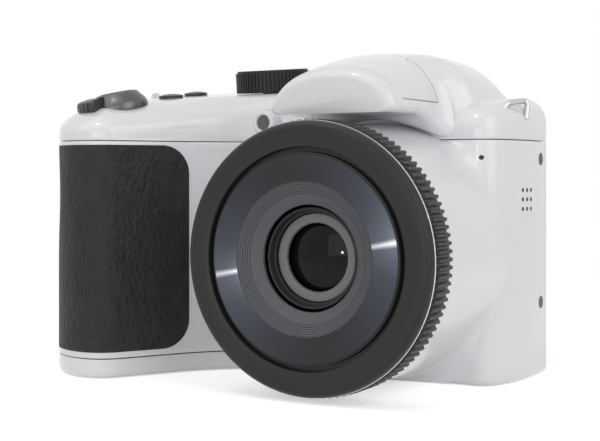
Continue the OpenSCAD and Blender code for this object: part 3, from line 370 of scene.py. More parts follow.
def raised(flat, z):  # rows of plan points, each row at one height
    return np.concatenate([flat, np.broadcast_to(z[:, None, None], flat.shape[:2] + (1,))], -1)


def wallGrid(pts, normals, z, inset):  # the outline carried up the rows of a wall, less their insets
    off = inset[:, None] + waist(pts[:, 0], z[:, None])
    return raised(pts[None] - normals[None] * off[..., None], z)


def frontShell():  # walls along the outline in three runs, with the base plate beside the battery door
    shape = Shape()
    foot = case["footR"]
    hingeX = doorX + door["gapHinge"]
    stripX = np.array([-halfW + 2, doorX + door["gap"]])
    stripY = doorY + door["gap"]
    ahead = outY < splitY
    rear = ahead & (outY > stripY) & (outX < 0)
    right = ahead & (outX > hingeX)
    left = ahead & ~rear & ~right

    def addWall(keep, z0, r):
        pts, normals = stretchOf(keep)
        shape.grid(wallGrid(pts, normals, *wallRows(z0, seamZ, r, 46)))
        return pts - normals * foot

    addWall(rear, 0.0, foot)
    shape.plate(np.c_[stripX[[0, 1, 1, 0]], [stripY, stripY, splitY, splitY]])
    addWall(left, doorZ + door["gap"], case["lipR"])
    base = addWall(right, 0.0, foot)
    base[:, 0] = np.maximum(base[:, 0], hingeX)
    shape.plate(np.concatenate([base, [[hingeX, splitY]]]))
    return shape


def collarShape():  # a turned collar with a hollow fillet that runs out along the case's front
    shape = Shape()
    k = {"r0": 31.0, "r1": 32.4, "fillet": 5.5, "mouth": 2.5, "sunk": 0.2, "fromSide": 0.6, "fromSeam": 0.1}
    wide = k["r1"] + k["fillet"]
    a = circle(256)
    c, s = np.cos(a), np.sin(a)
    toSide = (halfW - k["fromSide"] - lensX) / np.maximum(c, 1e-3)
    toSeam = (seamZ - k["fromSeam"] - lensZ) / np.maximum(s, 0.1)
    reach = np.where(c > 0, np.minimum(wide, toSide), wide)
    reach = np.minimum(reach, np.maximum(toSeam, k["r1"] + 0.3))
    soft = np.clip((lensX + reach * c - halfW + case["sideA"]) / case["sideA"], 0, 0.999)
    yEnd = frontY + 0.05 + case["sideB"] * (1 - (1 - soft ** case["sideE"]) ** (1 / case["sideE"]))
    yBend = frontY - k["fillet"]
    bend = np.radians(np.linspace(0, 90, 24))[:, None]
    y0 = ribHigh[1] - k["sunk"] + 0 * a
    r0 = k["r0"] + 0 * a
    r = np.concatenate([r0 - k["mouth"], r0, k["r1"] + (reach - k["r1"]) * (1 - np.cos(bend))])
    y = np.concatenate([y0, y0, yBend + (yEnd - yBend) * np.sin(bend)])
    shape.grid(np.stack([lensX + r * c, y, np.maximum(lensZ + r * s, 0.02)], -1), wrap=True, flip=True)
    return shape


makePiece("frontCoverShell", frontShell(), white, "case", ("front_cover",), thick=case["wall"])
makePiece("lensCollar", collarShape(), white, "case")

# holes: dark discs laid on the wall, as (place along it, height, radius, side), with side 0 for the front;
# the speaker and microphone discs are painted shade in place of open holes, the screw discs are the screws'
# heads
speaker = {"y": 17.3, "z": 46.0, "pitch": 2.4, "r": 0.55}
microphone = {"fromSide": 6.85, "fromSeam": 4.4, "r": 0.6}
screw = {"y": 26.9, "z": (18.9, 56.4), "r": 1.65}
shadedHoles = [
    (speaker["y"] + i * speaker["pitch"], speaker["z"] + j * speaker["pitch"], speaker["r"], 1)
    for i in (-1, 0, 1) for j in (-1, 0, 1)
]
shadedHoles.append((halfW - microphone["fromSide"], seamZ - microphone["fromSeam"], microphone["r"], 0))
screwHoles = [(screw["y"], z, screw["r"], side) for z in screw["z"] for side in (1, -1)]


def holeDiscs(holes, proud=0.04):  # rings of a disc, each point set on the wall by the outline there
    shape = Shape()
    rim = outline[(outX > 0) & (outY < frontY + case["sideB"])]
    byY = rim[np.argsort(rim[:, 1], kind="stable")]
    byX = rim[np.argsort(rim[:, 0], kind="stable")]
    a = circle(24)
    for u, z, r, side in holes:
        ring = np.linspace(r, 0.01, 6)[:, None]
        du, dz = u + ring * np.cos(a), z + ring * np.sin(a)
        if side:
            wall = np.interp(du, byY[:, 1], byY[:, 0]) if side > 0 else halfW + 0 * du
            shape.grid(np.stack([side * (wall + proud), du, dz], -1), wrap=True, flip=side < 0)
        else:
            wall = np.interp(du, byX[:, 0], byX[:, 1])
            shape.grid(np.stack([du, wall - proud, dz], -1), wrap=True)
    return shape


# painted shade: near-black discs where the speaker and microphone holes would be
makePiece("holeShadeDiscs", holeDiscs(shadedHoles), deepBlack, "case")
makePiece("screwMouths", holeDiscs(screwHoles), screwBlack, "case")
print("front cover made")


def doorShell():  # the grip's foot: a low wall along the outline and its floor
    shape = Shape()
    pts, normals = stretchOf((outY < doorY) & (outX < doorX))
    shape.grid(wallGrid(pts, normals, *wallRows(0.0, doorZ, case["footR"], 5)))
    shape.plate(np.concatenate([pts - normals * case["footR"], [[doorX, doorY]]]))
    return shape


def backShell():  # rear walls, with the flat back swelling into a thumb rest, a cap of a ball
    shape = Shape()
    thumb = {"fromSide": 13.35, "z": 50.0, "ball": 20.0, "sunk": 17.5, "flat": 0.6, "behind": 0.04}
    pts, normals = stretchOf(outY > splitY + case["seam"])
    z, inset = wallRows(0.0, seamZ, case["footR"], 60)
    g = wallGrid(pts, normals, z, inset + thumb["behind"])
    rho = np.hypot(g[..., 0] + halfW - thumb["fromSide"], g[..., 2] - thumb["z"])
    swell = np.sqrt(np.clip(thumb["ball"] ** 2 - rho ** 2, 0, None)) - thumb["sunk"]
    g[..., 1] += np.where(g[..., 1] > backY - thumb["flat"], np.clip(swell, 0, None), 0)
    shape.grid(g)
    shape.plate(pts - normals * case["footR"])
    return shape


def gripSkin():  # rubber wrapped on the outline, in a rounded rectangle of run length and height
    shape = Shape()
    k = {"corner": 7.5, "proud": 0.10}
    pts, normals = stretchOf((outY < rubberHigh[1]) & (outX < rubberHigh[0]))
    run = runLength(pts)
    z0, z1 = rubberLow[2], rubberHigh[2]
    z = z0 + (z1 - z0) * (1 - np.cos(np.linspace(0, np.pi, 90))) / 2
    fromEdge = np.minimum(np.minimum(z - z0, z1 - z), k["corner"])
    ends = run[-1] - k["corner"] + np.sqrt(k["corner"] ** 2 - (k["corner"] - fromEdge) ** 2)
    s = ends[:, None] * np.linspace(0, 1, 240)[None, :]
    p = np.stack([np.interp(s, run, pts[:, i]) for i in (0, 1)], -1)
    n = np.stack([np.interp(s, run, normals[:, i]) for i in (0, 1)], -1)
    lift = k["proud"] - waist(p[..., 0], z[:, None])
    shape.grid(raised(p + n * lift[..., None], z))
    return shape


makePiece("batteryDoorShell", doorShell(), white, "door", ("battery_door",),
          thick=door["wall"])
makePiece("backCoverShell", backShell(), white, "case", ("back_cover",), thick=case["wall"])
makePiece("gripSkin", gripSkin(), rubber, "case", ("grip_rubber",), thick=0.9)
print("grip, door and back made")

# top cover: a tilted deck with rolled edges, smoothly joined to the flash hump
underZ = lensZ + 34.0
hump = {
    "y0": frontY - 27.5, "y1": backY - 1.5, "peak": frontY + 10.5, "base": seamZ + 1, "e": 2.4, "edge": 2.0,
    "w0": 18.0, "w1": 27.0, "lead": 4.0, "run": 12.0,  # half width ahead and behind, and the change between
    "drop": 6.7, "back": 5.0,  # fall of the crown to the front and to the back
    "fill": -2.0, "fillE": 2.8, "fillRun": 9.0,  # slimmer, squarer flank on the lens side, behind the flash
    "under": underZ, "fallRun": 14.0, "arch": 33.4, "roll": 2.6,  # underside, arched over the lens
    "hingeY": frontY - 3, "hingeZ": peakZ - 2.6, "reach": 21.3, "lidZ": underZ + 3.5, "tip": 3.5,  # flash lid
}


def humpHalf(y):  # half width of the section
    return hump["w0"] + (hump["w1"] - hump["w0"]) * blend(y, frontY - hump["lead"], hump["run"])


def humpTop(y):  # crown: a parabola to the front, a flatter fourth power to the back
    front = peakZ - hump["drop"] * np.abs((hump["peak"] - y) / (hump["peak"] - hump["y0"])) ** 2
    rear = peakZ - hump["back"] * np.abs((y - hump["peak"]) / (hump["y1"] - hump["peak"])) ** 4
    return np.where(y < hump["peak"], front, rear)


def humpInset(y):  # rounded front edge
    t = 1 - np.clip((y - hump["y0"]) / hump["edge"], 0, 1)
    return hump["edge"] * (1 - np.sqrt(1 - t * t))


def humpPoint(a, y):  # point on the hump's section at y, at angle a from the lens side over the top
    e = humpInset(y)
    c, s = np.cos(a), np.sin(a)
    x = lensX + (humpHalf(y) - e) * np.sign(c) * np.abs(c) ** (2 / hump["e"])
    z = hump["base"] + (humpTop(y) - e - hump["base"]) * np.abs(s) ** (2 / hump["e"])
    return np.stack([x, y + 0 * a, z], -1)


def underAt(y):  # height of the flanks' lower edge: level ahead, falling to the seam at the front wall
    t = np.clip((y - frontY + hump["fallRun"]) / hump["fallRun"], 0, 1)
    return hump["under"] - (hump["under"] - seamZ - 0.5) * t * t


def noseSkin(a, y):  # hump point with the flanks' lower edges rolled in
    pts = humpPoint(a, y)
    rise = np.clip(pts[..., 2] - underAt(y), 0, hump["roll"])
    draw = hump["roll"] - np.sqrt(hump["roll"] ** 2 - (hump["roll"] - rise) ** 2)
    pts[..., 0] -= np.sign(pts[..., 0] - lensX) * draw
    return pts


def angleAt(z, y):  # angle at which the section at y reaches height z
    share = (z - hump["base"]) / (humpTop(y) - humpInset(y) - hump["base"])
    return np.arcsin(np.clip(share, 0, 1) ** (hump["e"] / 2))


def archAngles(z, y, u):  # angles from one flank at height z over the top to the other, for u from 0 to 1
    low = angleAt(z, y)
    return low + (np.pi - 2 * low) * u


def tipHeights(z, u):  # heights over the section a little behind the hump's tip
    y = np.full_like(u, hump["y0"] + hump["tip"])
    return humpPoint(archAngles(z, y, u), y)[:, 2]


def lidFront(z):  # front edge of the flash lid: an arc about its hinge, upright below the lid
    drop = hump["hingeZ"] - np.maximum(z, hump["lidZ"])
    return hump["hingeY"] - np.sqrt(hump["reach"] ** 2 - drop ** 2)


def smoothMax(a, b, k):  # the higher of two, rounded where they are within k
    h = np.clip(0.5 + 0.5 * (a - b) / k, 0, 1)
    return a * h + b * (1 - h) + k * h * (1 - h)


def edgeDrop(d, r, width):  # fall of a rolled edge of height r and width at distance d from the rim
    u = np.clip(1 - d / width, 0, 1)
    return r * (1 - np.sqrt(np.clip(1 - u * u, 0, 1)))


def segmentGap(p, a, b, longest=4):  # distance of points p from the segments a to b, long ones left out
    ab = b - a
    span = np.maximum((ab ** 2).sum(-1), 1e-9)
    t = np.clip(((p - a) * ab).sum(-1) / span, 0, 1)
    t = np.where(span > longest, 0, t)
    return np.linalg.norm(p - a - ab * t[:, None], axis=-1)


def deckHeight(x, y, d):  # deck with a rolled edge at distance d from the rim, smoothly joined to the hump
    k = {
        "edgeLens": 7.0, "edgeGrip": 7.5, "edgeBack": 7.0, "edgeHump": 6.0, "join": 3.0,
        "toLens": (20, 30), "toBack": (22, 8), "offSides": (46, -15),  # where an edge takes over, and its run
        "palmRoll": 9.5, "palmX": (-8, -30), "palmY": (4, -16),  # wider roll over the grip
        "shoulder": 4.2, "shoulderRun": 16, "outside": 1.5,  # lower on the lens side
    }
    radius = k["edgeGrip"] + (k["edgeLens"] - k["edgeGrip"]) * blend(x, *k["toLens"])
    radius = radius + (k["edgeBack"] - radius) * blend(y, *k["toBack"]) * blend(np.abs(x), *k["offSides"])
    width = radius + k["palmRoll"] * blend(x, *k["palmX"]) * blend(y, *k["palmY"])
    deck = case["deckZ"] + case["slope"] * y - edgeDrop(d, radius, width)
    deck = deck - k["shoulder"] * blend(x, lensX, k["shoulderRun"])
    fill = np.where(x > lensX, blend(y, frontY, hump["fillRun"]), 0)
    power = hump["e"] + (hump["fillE"] - hump["e"]) * fill
    f = 1 - (np.abs(x - lensX) / (humpHalf(y) + hump["fill"] * fill)) ** power
    rise = np.where(f > 0, np.abs(f) ** (1 / power), f * k["outside"])
    crown = hump["base"] + (humpTop(y) - hump["base"]) * rise - edgeDrop(d, k["edgeHump"], k["edgeHump"])
    return smoothMax(deck, crown, k["join"])


def rimEnds(xs, keep):  # y of one side of the outline at each column
    part = outline[keep]
    part = part[np.argsort(part[:, 0], kind="stable")]
    y = np.interp(xs, part[:, 0], part[:, 1])
    y[[0, -1]] = y[[1, -2]]
    return y


def rimGap(gx, gy, rim):  # distance of grid points from the rim, by the two segments at its closest point
    flat = np.stack([gx, gy], -1).reshape(-1, 2).astype(np.float32)
    rim = rim.astype(np.float32)
    closest = np.concatenate([
        ((part[:, None] - rim[None]) ** 2).sum(-1).argmin(1) for part in np.array_split(flat, 80)
    ])
    here = rim[closest]
    before = segmentGap(flat, rim[(closest - 1) % len(rim)], here)
    after = segmentGap(flat, here, rim[(closest + 1) % len(rim)])
    return np.minimum(before, after).reshape(gx.shape)


def topShell():  # columns across X, each running from the front outline to the back one
    shape = Shape()
    k = {"turnY": 5.0, "middle": (0.0, 14.0), "lap": 0.5, "ahead": 1.5}
    lip, turnIn = case["lipR"], case["turnIn"]
    isBack = outY > np.interp(outX, [-halfW, halfW], [k["turnY"], frontY + case["sideB"]])
    xs = halfW * np.sin(np.linspace(-np.pi / 2, np.pi / 2, 300))
    yF, yB = rimEnds(xs, ~isBack), rimEnds(xs, isBack)
    t = (1 - np.cos(np.linspace(0, np.pi, 190)))[:, None] / 2
    gx = xs[None, :] + 0 * t
    gy = yF[None, :] + (yB - yF)[None, :] * t
    inHump = humpHalf(np.array(frontY)) - k["lap"]  # the front rim under the hump isn't an edge
    covered = (outY < frontY + k["ahead"]) & (np.abs(outX - lensX) < inHump)
    d = rimGap(gx, gy, outline[~covered])
    d[:, [0, -1]] = 0
    d[-1] = 0
    d[0] = np.where(np.abs(xs - lensX) < inHump, d[0], 0)
    grid = np.stack([gx, gy, deckHeight(gx, gy, d)], -1)
    shape.grid(grid)
    edge = np.concatenate([grid[0], grid[1:, -1], grid[-1, -2::-1], grid[-2:0:-1, 0]])
    inward = np.array(k["middle"]) - edge[:, :2]
    inward /= np.linalg.norm(inward, axis=1)[:, None]
    plain = [(part, 0, 0) for part in (0, 0.35, 0.7, 1)]  # share of the way down, draw inward and drop
    skirt = []  # from the rim down to the seam, with a small lip turned in below
    for part, draw, drop in plain + [(1, lip, lip), (1, lip + turnIn, lip)]:
        ring = edge.copy()
        ring[:, 2] += (seamZ + case["seam"] + lip - edge[:, 2]) * part - drop
        ring[:, :2] += inward * draw
        skirt.append(ring)
    shape.grid(np.stack(skirt), wrap=True, flip=True)
    return shape


def noseShape():  # the part of the hump that stands out over the lens, with the flash bay left open
    shape = Shape()
    h = hump
    k = {
        "gapLid": 0.4, "gapHinge": 0.5, "lap": 0.3,
        "lipIn": 0.9, "lipDown": 1.5, "bayFrom": 3.3, "bayDown": 0.6,  # lip into the bay, and its floor
    }
    yBack = frontY + k["lap"]
    yLidBack = h["hingeY"] + k["gapHinge"]
    lapZ = h["lidZ"] - k["lap"]
    u = (1 - np.cos(np.linspace(0, np.pi, 221))) / 2
    t = np.linspace(0, 1, 26)[:, None] ** 1.5
    y = h["y0"] + (lidFront(tipHeights(h["under"], u)) - k["gapLid"] - h["y0"])[None] * t
    skin = noseSkin(archAngles(h["under"], y, u), y)
    shape.grid(skin, flip=True)
    shape.polygon(skin[0])
    lip = skin[-1][skin[-1][:, 2] > lapZ]
    sunk = lip.copy()
    sunk[:, 0] = lensX + (sunk[:, 0] - lensX) * k["lipIn"]
    sunk[:, 2] -= k["lipDown"]
    shape.grid(np.stack([lip, sunk]), flip=True)
    v = (1 - np.cos(np.linspace(0, np.pi / 2, 16)))[:, None]  # flanks below the lid
    y = np.linspace(lidFront(h["lidZ"]) - k["gapLid"], yBack, 40)[None] + 0 * v
    a = angleAt(underAt(y) + (lapZ - underAt(y)) * v, y)
    shape.grid(noseSkin(a, y))
    shape.grid(noseSkin(np.pi - a, y), flip=True)
    y = np.linspace(yLidBack, yBack, 8)[:, None] + 0 * u  # strip behind the lid, and the bay's rear wall
    shape.grid(humpPoint(archAngles(lapZ, y, u), y), flip=True)
    shape.polygon(humpPoint(archAngles(h["under"], y[0], u), y[0]))
    w = np.linspace(-1, 1, 60)[None]
    y = np.linspace(h["y0"] + 0.02, yBack, 50)[:, None]  # underside, arched where the flanks reach down
    x = (noseSkin(angleAt(underAt(y), y), y)[..., 0] - lensX) * w
    arch = lensZ + np.sqrt(np.clip(h["arch"] ** 2 - x * x, 0, None))
    z = np.maximum(np.maximum(underAt(y) + 0 * x, h["base"]), arch)
    shape.grid(np.stack([lensX + x, y + 0 * w, z], -1), flip=True)
    y = np.linspace(h["y0"] + k["bayFrom"], yLidBack, 50)[:, None]  # floor of the bay
    z = h["lidZ"] - k["bayDown"] + 0 * y
    x = (humpPoint(angleAt(z, y), y)[..., 0] - lensX) * w
    shape.grid(np.stack([lensX + x, y + 0 * w, z + 0 * x], -1))
    return shape


def lidShape():  # flash lid: the hump's own skin between its front lip, its flanks and its hinge
    shape = Shape()
    gapHinge = 0.25
    u = np.linspace(0, 1, 161)
    t = np.linspace(0, 1, 60)[:, None]
    yStart = lidFront(tipHeights(hump["lidZ"], u))[None]
    y = yStart + (hump["hingeY"] + gapHinge - yStart) * t
    shape.grid(humpPoint(archAngles(hump["lidZ"], y, u), y), flip=True)
    return shape


def lampBoss():  # turned surround of the focus lamp
    shape = Shape()
    low, high = nodeBox("focus_lamp")
    cx, cz = (low[0] + high[0]) / 2, (low[2] + high[2]) / 2
    y0 = low[1] - 0.6
    profile = np.array([
        [3.9, frontY + 0.5], [3.75, y0 + 2.6], [3.55, y0 + 1.0], [3.2, y0 + 0.35], [2.8, y0 + 0.06],
        [2.4, y0], [2.1, y0 + 0.12], [1.98, y0 + 0.45], [1.95, y0 + 2.0],
    ])
    a = circle(96)
    r, y = profile[:, :1], profile[:, 1:]
    z = np.maximum(cz + r * np.sin(a), seamZ + case["seam"])
    shape.grid(np.stack([cx + r * np.cos(a), y + 0 * a, z], -1), wrap=True)
    return shape


makePiece("topCoverShell", topShell(), white, "case", ("top_cover",), sharp=50)
makePiece("flashNose", noseShape(), white, "case", sharp=40)
makePiece("flashLidShell", lidShape(), white, "flash", ("flash_lid",), thick=1.2)
makePiece("lampSurround", lampBoss(), white, "case")
print("top cover and flash made")


# lens: profiles of radius and depth behind a start, turned about the lens axis
def turned(name, start, profile, material, body, replaced=(), sharp=28.0):
    shape = Shape()
    profile = np.asarray(profile, float)
    a = circle(320)
    r, y = profile[:, :1], start + profile[:, 1:]
    shape.grid(np.stack([lensX + r * np.cos(a), y + 0 * a, lensZ + r * np.sin(a)], -1), wrap=True)
    makePiece(name, shape, material, body, replaced, sharp=sharp)


ringY = nodeBox("lens_front_ring")[0][1]
innerY = nodeBox("inner_barrel")[0][1]
bezelY = nodeBox("element_bezel")[0][1]
glassY = nodeBox("front_element")[0][1] + 0.4
barrelR = nodeBox("outer_barrel")[1][0] - lensX
lens = {
    "frontRing": [
        [25.8, 6], [25.8, 0.5], [25.9, 0.15], [26.2, 0], [30.2, 0], [30.9, 0.1], [31.4, 0.45], [31.85, 1.2],
        [32.0, 2.1], [31.0, 2.1],
    ],
    "trimRing": [[31.0, 2.1], [32.05, 2.12], [32.1, 2.3], [32.05, 2.6], [31.0, 2.65]],
    "barrelFace": [[17.9, 0.4], [17.95, 0.08], [18.1, 0.02], [23.9, 0.02], [24.1, 0.1], [24.15, 0.25]],
    "barrelTube": [
        [24.15, 0.2], [24.4, 0.12], [barrelR - 0.05, 0.25], [barrelR, 0.5], [barrelR, 40.5],
        [barrelR - 1.4, 40.5], [barrelR - 1.4, 4.4], [17.9, 4.3],
    ],
    "innerTube": [
        [12.0, 32], [12.0, 0.35], [11.9, 0.1], [11.7, 0], [11.3, 0.05], [11.2, 0.3], [10.9, 0.9],
        [10.85, 1.5], [10.6, 1.6], [10.5, 2.6], [10.4, 31.9], [12.0, 32],
    ],
    "bezelRing": [[10.45, 0.8], [10.35, 0.1], [10.2, 0], [8.5, 0], [8.3, 0.05], [8.1, 0.3], [8.05, 0.9]],
}


def bafflePath():  # fine steps from the barrel's face down to a plain cone
    k = {"steps": 5, "r0": 17.9, "r1": 15.0, "y0": 0.1, "y1": 1.7, "rEnd": 12.5, "yEnd": 3.4, "yBack": 4.2}
    edge = np.linspace(0, 1, k["steps"] + 1)
    r = k["r0"] + (k["r1"] - k["r0"]) * np.repeat(edge, 2)[1:-1]
    y = k["y0"] + (k["y1"] - k["y0"]) * np.repeat(edge[1:], 2)
    y[0::2] -= 0.05
    steps = np.stack([r, np.concatenate([[k["y0"]], y[:-1]])], -1)
    cone = [[k["r1"], k["y1"]], [k["r1"] - 0.1, k["y1"] + 0.05], [k["rEnd"] + 0.2, k["yEnd"] - 0.15]]
    back = [[k["rEnd"], k["yEnd"]], [k["rEnd"], k["yBack"]], [k["r0"], k["yBack"]]]
    return np.concatenate([steps, cone, back])


def glassPath():  # shallow dome, by the square of the radius
    k = {"r": 8.05, "bulge": 1.2}
    r = np.linspace(0.0, k["r"], 40)
    return np.stack([r, (r / k["r"]) ** 2 * k["bulge"]], -1)[::-1]


turned("frontRing", ringY, lens["frontRing"], satinBlack, "case", ("lens_front_ring",))
turned("trimRing", ringY, lens["trimRing"], brightTrim, "case", ("lens_trim_ring",))
# the barrel's face carries the painted glint rays
turned("barrelFace", ringY, lens["barrelFace"], spunWithPaintedGlints, "outer_lens", ("outer_barrel",))
turned("barrelTube", ringY, lens["barrelTube"], satinBlack, "outer_lens")
turned("baffleSteps", ringY, bafflePath(), baffleGrey, "outer_lens", ("baffle_ring",),
       sharp=20)
turned("innerTube", innerY, lens["innerTube"], satinBlack, "inner_lens", ("inner_barrel",))
turned("bezelRing", bezelY, lens["bezelRing"], bezelGrey, "inner_lens", ("element_bezel",))
turned("frontGlass", glassY, glassPath(), coatedGlass, "inner_lens", ("front_element",))


def ribShape():  # ribs as a soft square wave of the angle on a turned ring
    shape = Shape()
    k = {"ribs": 110, "top": (ribHigh[0] - ribLow[0]) / 2, "root": 31.65, "square": 3.2}
    y0, y1 = ringY + 2.7, ribHigh[1]
    a = circle(k["ribs"] * 10)
    wave = 0.5 + 0.5 * np.tanh(k["square"] * np.sin(k["ribs"] * a)) / np.tanh(k["square"])
    profile = np.array([  # radius, depth and share of the rib
        [30.6, y0, 0], [31.0, y0, 0], [31.3, y0 + 0.1, 0], [31.35, y0 + 0.75, 0], [31.4, y0 + 0.8, 0.35],
        [k["root"], y0 + 1.25, 1], [k["root"], y0 + 4.4, 1], [k["root"], y1 - 0.5, 1],
        [31.4, y1 - 0.05, 0.4], [31.2, y1, 0], [29.5, y1, 0],
    ])
    r = profile[:, :1] + profile[:, 2:] * (k["top"] - k["root"]) * wave
    y = profile[:, 1:2] + 0 * a
    shape.grid(np.stack([lensX + r * np.cos(a), y, lensZ + r * np.sin(a)], -1), wrap=True)
    return shape


makePiece("ribbedRing", ribShape(), ribBlack, "case", ("ribbed_ring",), sharp=30)
print("lens made")

# controls on the deck: profiles of radius and height about the lever's leaning axis
control = {
    "place": np.array([-41.5, -22.0, 71.05]), "lean": (-0.10, -0.19),
    "tab": 246.0, "tabHalf": 24.0, "tabR": 11.0, "ribs": 5, "groove": 0.45,  # finger tab, in degrees and mm
    "cone": [
        [4.95, 0.8], [4.95, 2.85], [5.0, 3.1], [5.25, 3.2], [5.55, 3.05], [7.25, 0.95], [7.55, 0.5],
        [7.7, 0.1], [7.7, -1.2],
    ],
    "dish": [
        [4.5, 1.7], [4.5, 3.05], [4.4, 3.3], [4.2, 3.4], [3.8, 3.2], [2.8, 2.9], [1.4, 2.72], [0.02, 2.66],
    ],
}


def aboutLever(profile, angles, swell=0.0):  # a profile turned about the leaning axis, its radius swelled
    up = np.array([*control["lean"], math.sqrt(1 - sum(c * c for c in control["lean"]))])
    across = np.array([up[2], 0, -up[0]]) / math.hypot(up[2], up[0])
    along = np.cross(up, across)
    profile = np.asarray(profile, float)
    r = (profile[:, :1] + swell)[..., None]
    a = angles[..., None]
    return control["place"] + profile[:, 1:, None] * up + r * (np.cos(a) * across + np.sin(a) * along)


def coneShape():  # the lever's ring, bored for the button
    shape = Shape()
    shape.grid(aboutLever(control["cone"], circle(128)), wrap=True, flip=True)
    return shape


def tabShape():  # a sector with grooves across its front, as clipped waves of the angle
    shape = Shape()
    half, ribs, r = math.radians(control["tabHalf"]), control["ribs"], control["tabR"]
    a = math.radians(control["tab"]) + np.linspace(-half, half, ribs * 16 + 1)
    wave = np.cos(np.linspace(0, 2 * np.pi * ribs, len(a)))
    groove = -control["groove"] * np.clip(4 * wave - 2.6, 0, 1)
    face = np.array([  # radius, height and share of the groove
        [5.2, 2.9, 0], [7.5, 3.0, 0], [r - 0.9, 2.55, 0], [r - 0.2, 2.15, 0.7], [r, 1.6, 1],
        [r + 0.1, 0.2, 1], [r - 0.3, -0.25, 0.6], [6.5, -0.3, 0],
    ])
    rows = aboutLever(face[:, :2], a[None], face[:, 2:] * groove)
    shape.grid(rows, flip=True)
    shape.polygon(rows[:, 0], flip=True)
    shape.polygon(rows[:, -1])
    return shape


def dishShape():  # the button, hollowed for a finger
    shape = Shape()
    shape.grid(aboutLever(control["dish"], circle(128)), wrap=True)
    return shape


makePiece("leverRing", coneShape(), controlSteel, "lever", ("zoom_lever",), sharp=40)
makePiece("leverTab", tabShape(), controlDark, "lever", sharp=40)
makePiece("shutterDish", dishShape(), controlSteel, "shutter", ("shutter_button",), sharp=40)


def sweep(path, radius, sides=24, easing=12):  # round bar along a path, its corners eased by averaging
    path = np.asarray(path, float)
    run = runLength(path)
    s = np.linspace(0, run[-1], 61)
    line = np.stack([np.interp(s, run, path[:, i]) for i in range(3)], -1)
    for _ in range(easing):
        line[1:-1] = (line[:-2] + 2 * line[1:-1] + line[2:]) / 4
    ahead = np.gradient(line, axis=0)
    ahead /= np.linalg.norm(ahead, axis=1)[:, None]
    first = np.cross(ahead, [1.0, -0.4, 0.1])
    first /= np.linalg.norm(first, axis=1)[:, None]
    second = np.cross(ahead, first)
    a = circle(sides)[..., None]
    return line[:, None] + radius * (np.cos(a) * first[:, None] + np.sin(a) * second[:, None])


def lugShape():  # one bent bar on each shoulder, its route as distance from the side, depth and height
    shape = Shape()
    k = {"bar": 0.72, "lift": {1: 0.0, -1: 5.2}}
    route = np.array([
        [-4.6, 11.0, 68.8], [-3.8, 12.6, 70.6], [-1.1, 18.2, 71.3], [-0.55, 18.0, 70.6], [-0.75, 17.4, 66.6],
    ])
    for side, lift in k["lift"].items():
        path = np.stack([side * (halfW + route[:, 0]), route[:, 1], route[:, 2] + lift], -1)
        shape.closed(sweep(path, k["bar"]))
    return shape


makePiece("strapLugBars", lugShape(), lugSteel, "case", ("strap_lugs",), sharp=50)
print("controls and lugs made")

# finishes of the CAD nodes that stay in sight or show when something opens
nodeFinish = {
    "mode_dial": ribBlack, "power_button": controlDark, "burst_button": controlDark,
    "battery_latch": controlDark, "case_screws": screwBlack, "focus_lamp": lampDark,
    "port_flap": white, "flash_head": white, "flash_window": clearWindow,
    "tripod_bush": brassTurned, "drive_pinion": brassTurned,
    "battery_cells": cellWrap, "flash_capacitor": cellWrap,
    "main_board": boardGreen, "sensor_board": boardGreen,
    "switch_board": boardGreen, "button_board": boardGreen,
    "display_panel": screenDark, "image_sensor": screenDark, "focus_lens": coatedGlass,
    "record_button": buttonGrey, "menu_button": buttonGrey, "display_button": buttonGrey,
    "play_button": buttonGrey, "delete_button": buttonGrey, "ok_button": buttonGrey,
    "four_way_pad": buttonGrey,
    "door_hinge_pin": lugSteel, "flash_hinge_pin": lugSteel, "guide_rods": lugSteel, "usb_socket": lugSteel,
    "zoom_motor": lugSteel, "door_contacts": lugSteel, "battery_contacts": lugSteel,
}
for name, obj in nodes.items():
    obj.data.materials.clear()
    obj.data.materials.append(nodeFinish.get(name, deepBlack))
print("nodes dressed")


# floor, light and camera
def seenRays(tree):  # 1 for rays that show the surroundings: camera, glossy and transmission
    rays = tree.nodes.new("ShaderNodeLightPath").outputs
    pair = {0: rays["Is Camera Ray"], 1: rays["Is Glossy Ray"]}
    first = addNode(tree, "ShaderNodeMath", pair, operation="MAXIMUM").outputs["Value"]
    pair = {0: first, 1: rays["Is Transmission Ray"]}
    return addNode(tree, "ShaderNodeMath", pair, operation="MAXIMUM").outputs["Value"]


def floorPaper():  # pale paper, lifted to white in view, fading to plain white away from the object
    k = {"colour": (0.9, 0.9, 0.9, 1), "rough": 0.9, "lift": 0.52, "near": 0.16, "far": 0.34}
    mat = bpy.data.materials.new("floorPaper")
    mat.use_nodes = True
    tree = mat.node_tree
    shader = tree.nodes["Principled BSDF"]
    shader.inputs["Base Color"].default_value = k["colour"]
    shader.inputs["Roughness"].default_value = k["rough"]
    shader.inputs["Specular IOR Level"].default_value = 0.0
    paper = shader.outputs["BSDF"]
    glow = addNode(tree, "ShaderNodeEmission", {"Strength": k["lift"]}).outputs["Emission"]
    lifted = addNode(tree, "ShaderNodeAddShader", {0: paper, 1: glow}).outputs["Shader"]
    plain = addNode(tree, "ShaderNodeEmission", {"Strength": 1.0}).outputs["Emission"]
    place = tree.nodes.new("ShaderNodeTexCoord").outputs["Object"]
    away = addNode(tree, "ShaderNodeVectorMath", {0: place}, operation="LENGTH").outputs["Value"]
    run = {"Value": away, "From Min": k["near"], "From Max": k["far"]}
    fade = addNode(tree, "ShaderNodeMapRange", run, interpolation_type="SMOOTHSTEP").outputs["Result"]
    inView = addNode(tree, "ShaderNodeMixShader", {"Fac": fade, 1: lifted, 2: plain}).outputs["Shader"]
    either = addNode(tree, "ShaderNodeMixShader", {"Fac": seenRays(tree), 1: paper, 2: inView})
    tree.links.new(either.outputs["Shader"], tree.nodes["Material Output"].inputs["Surface"])
    return mat


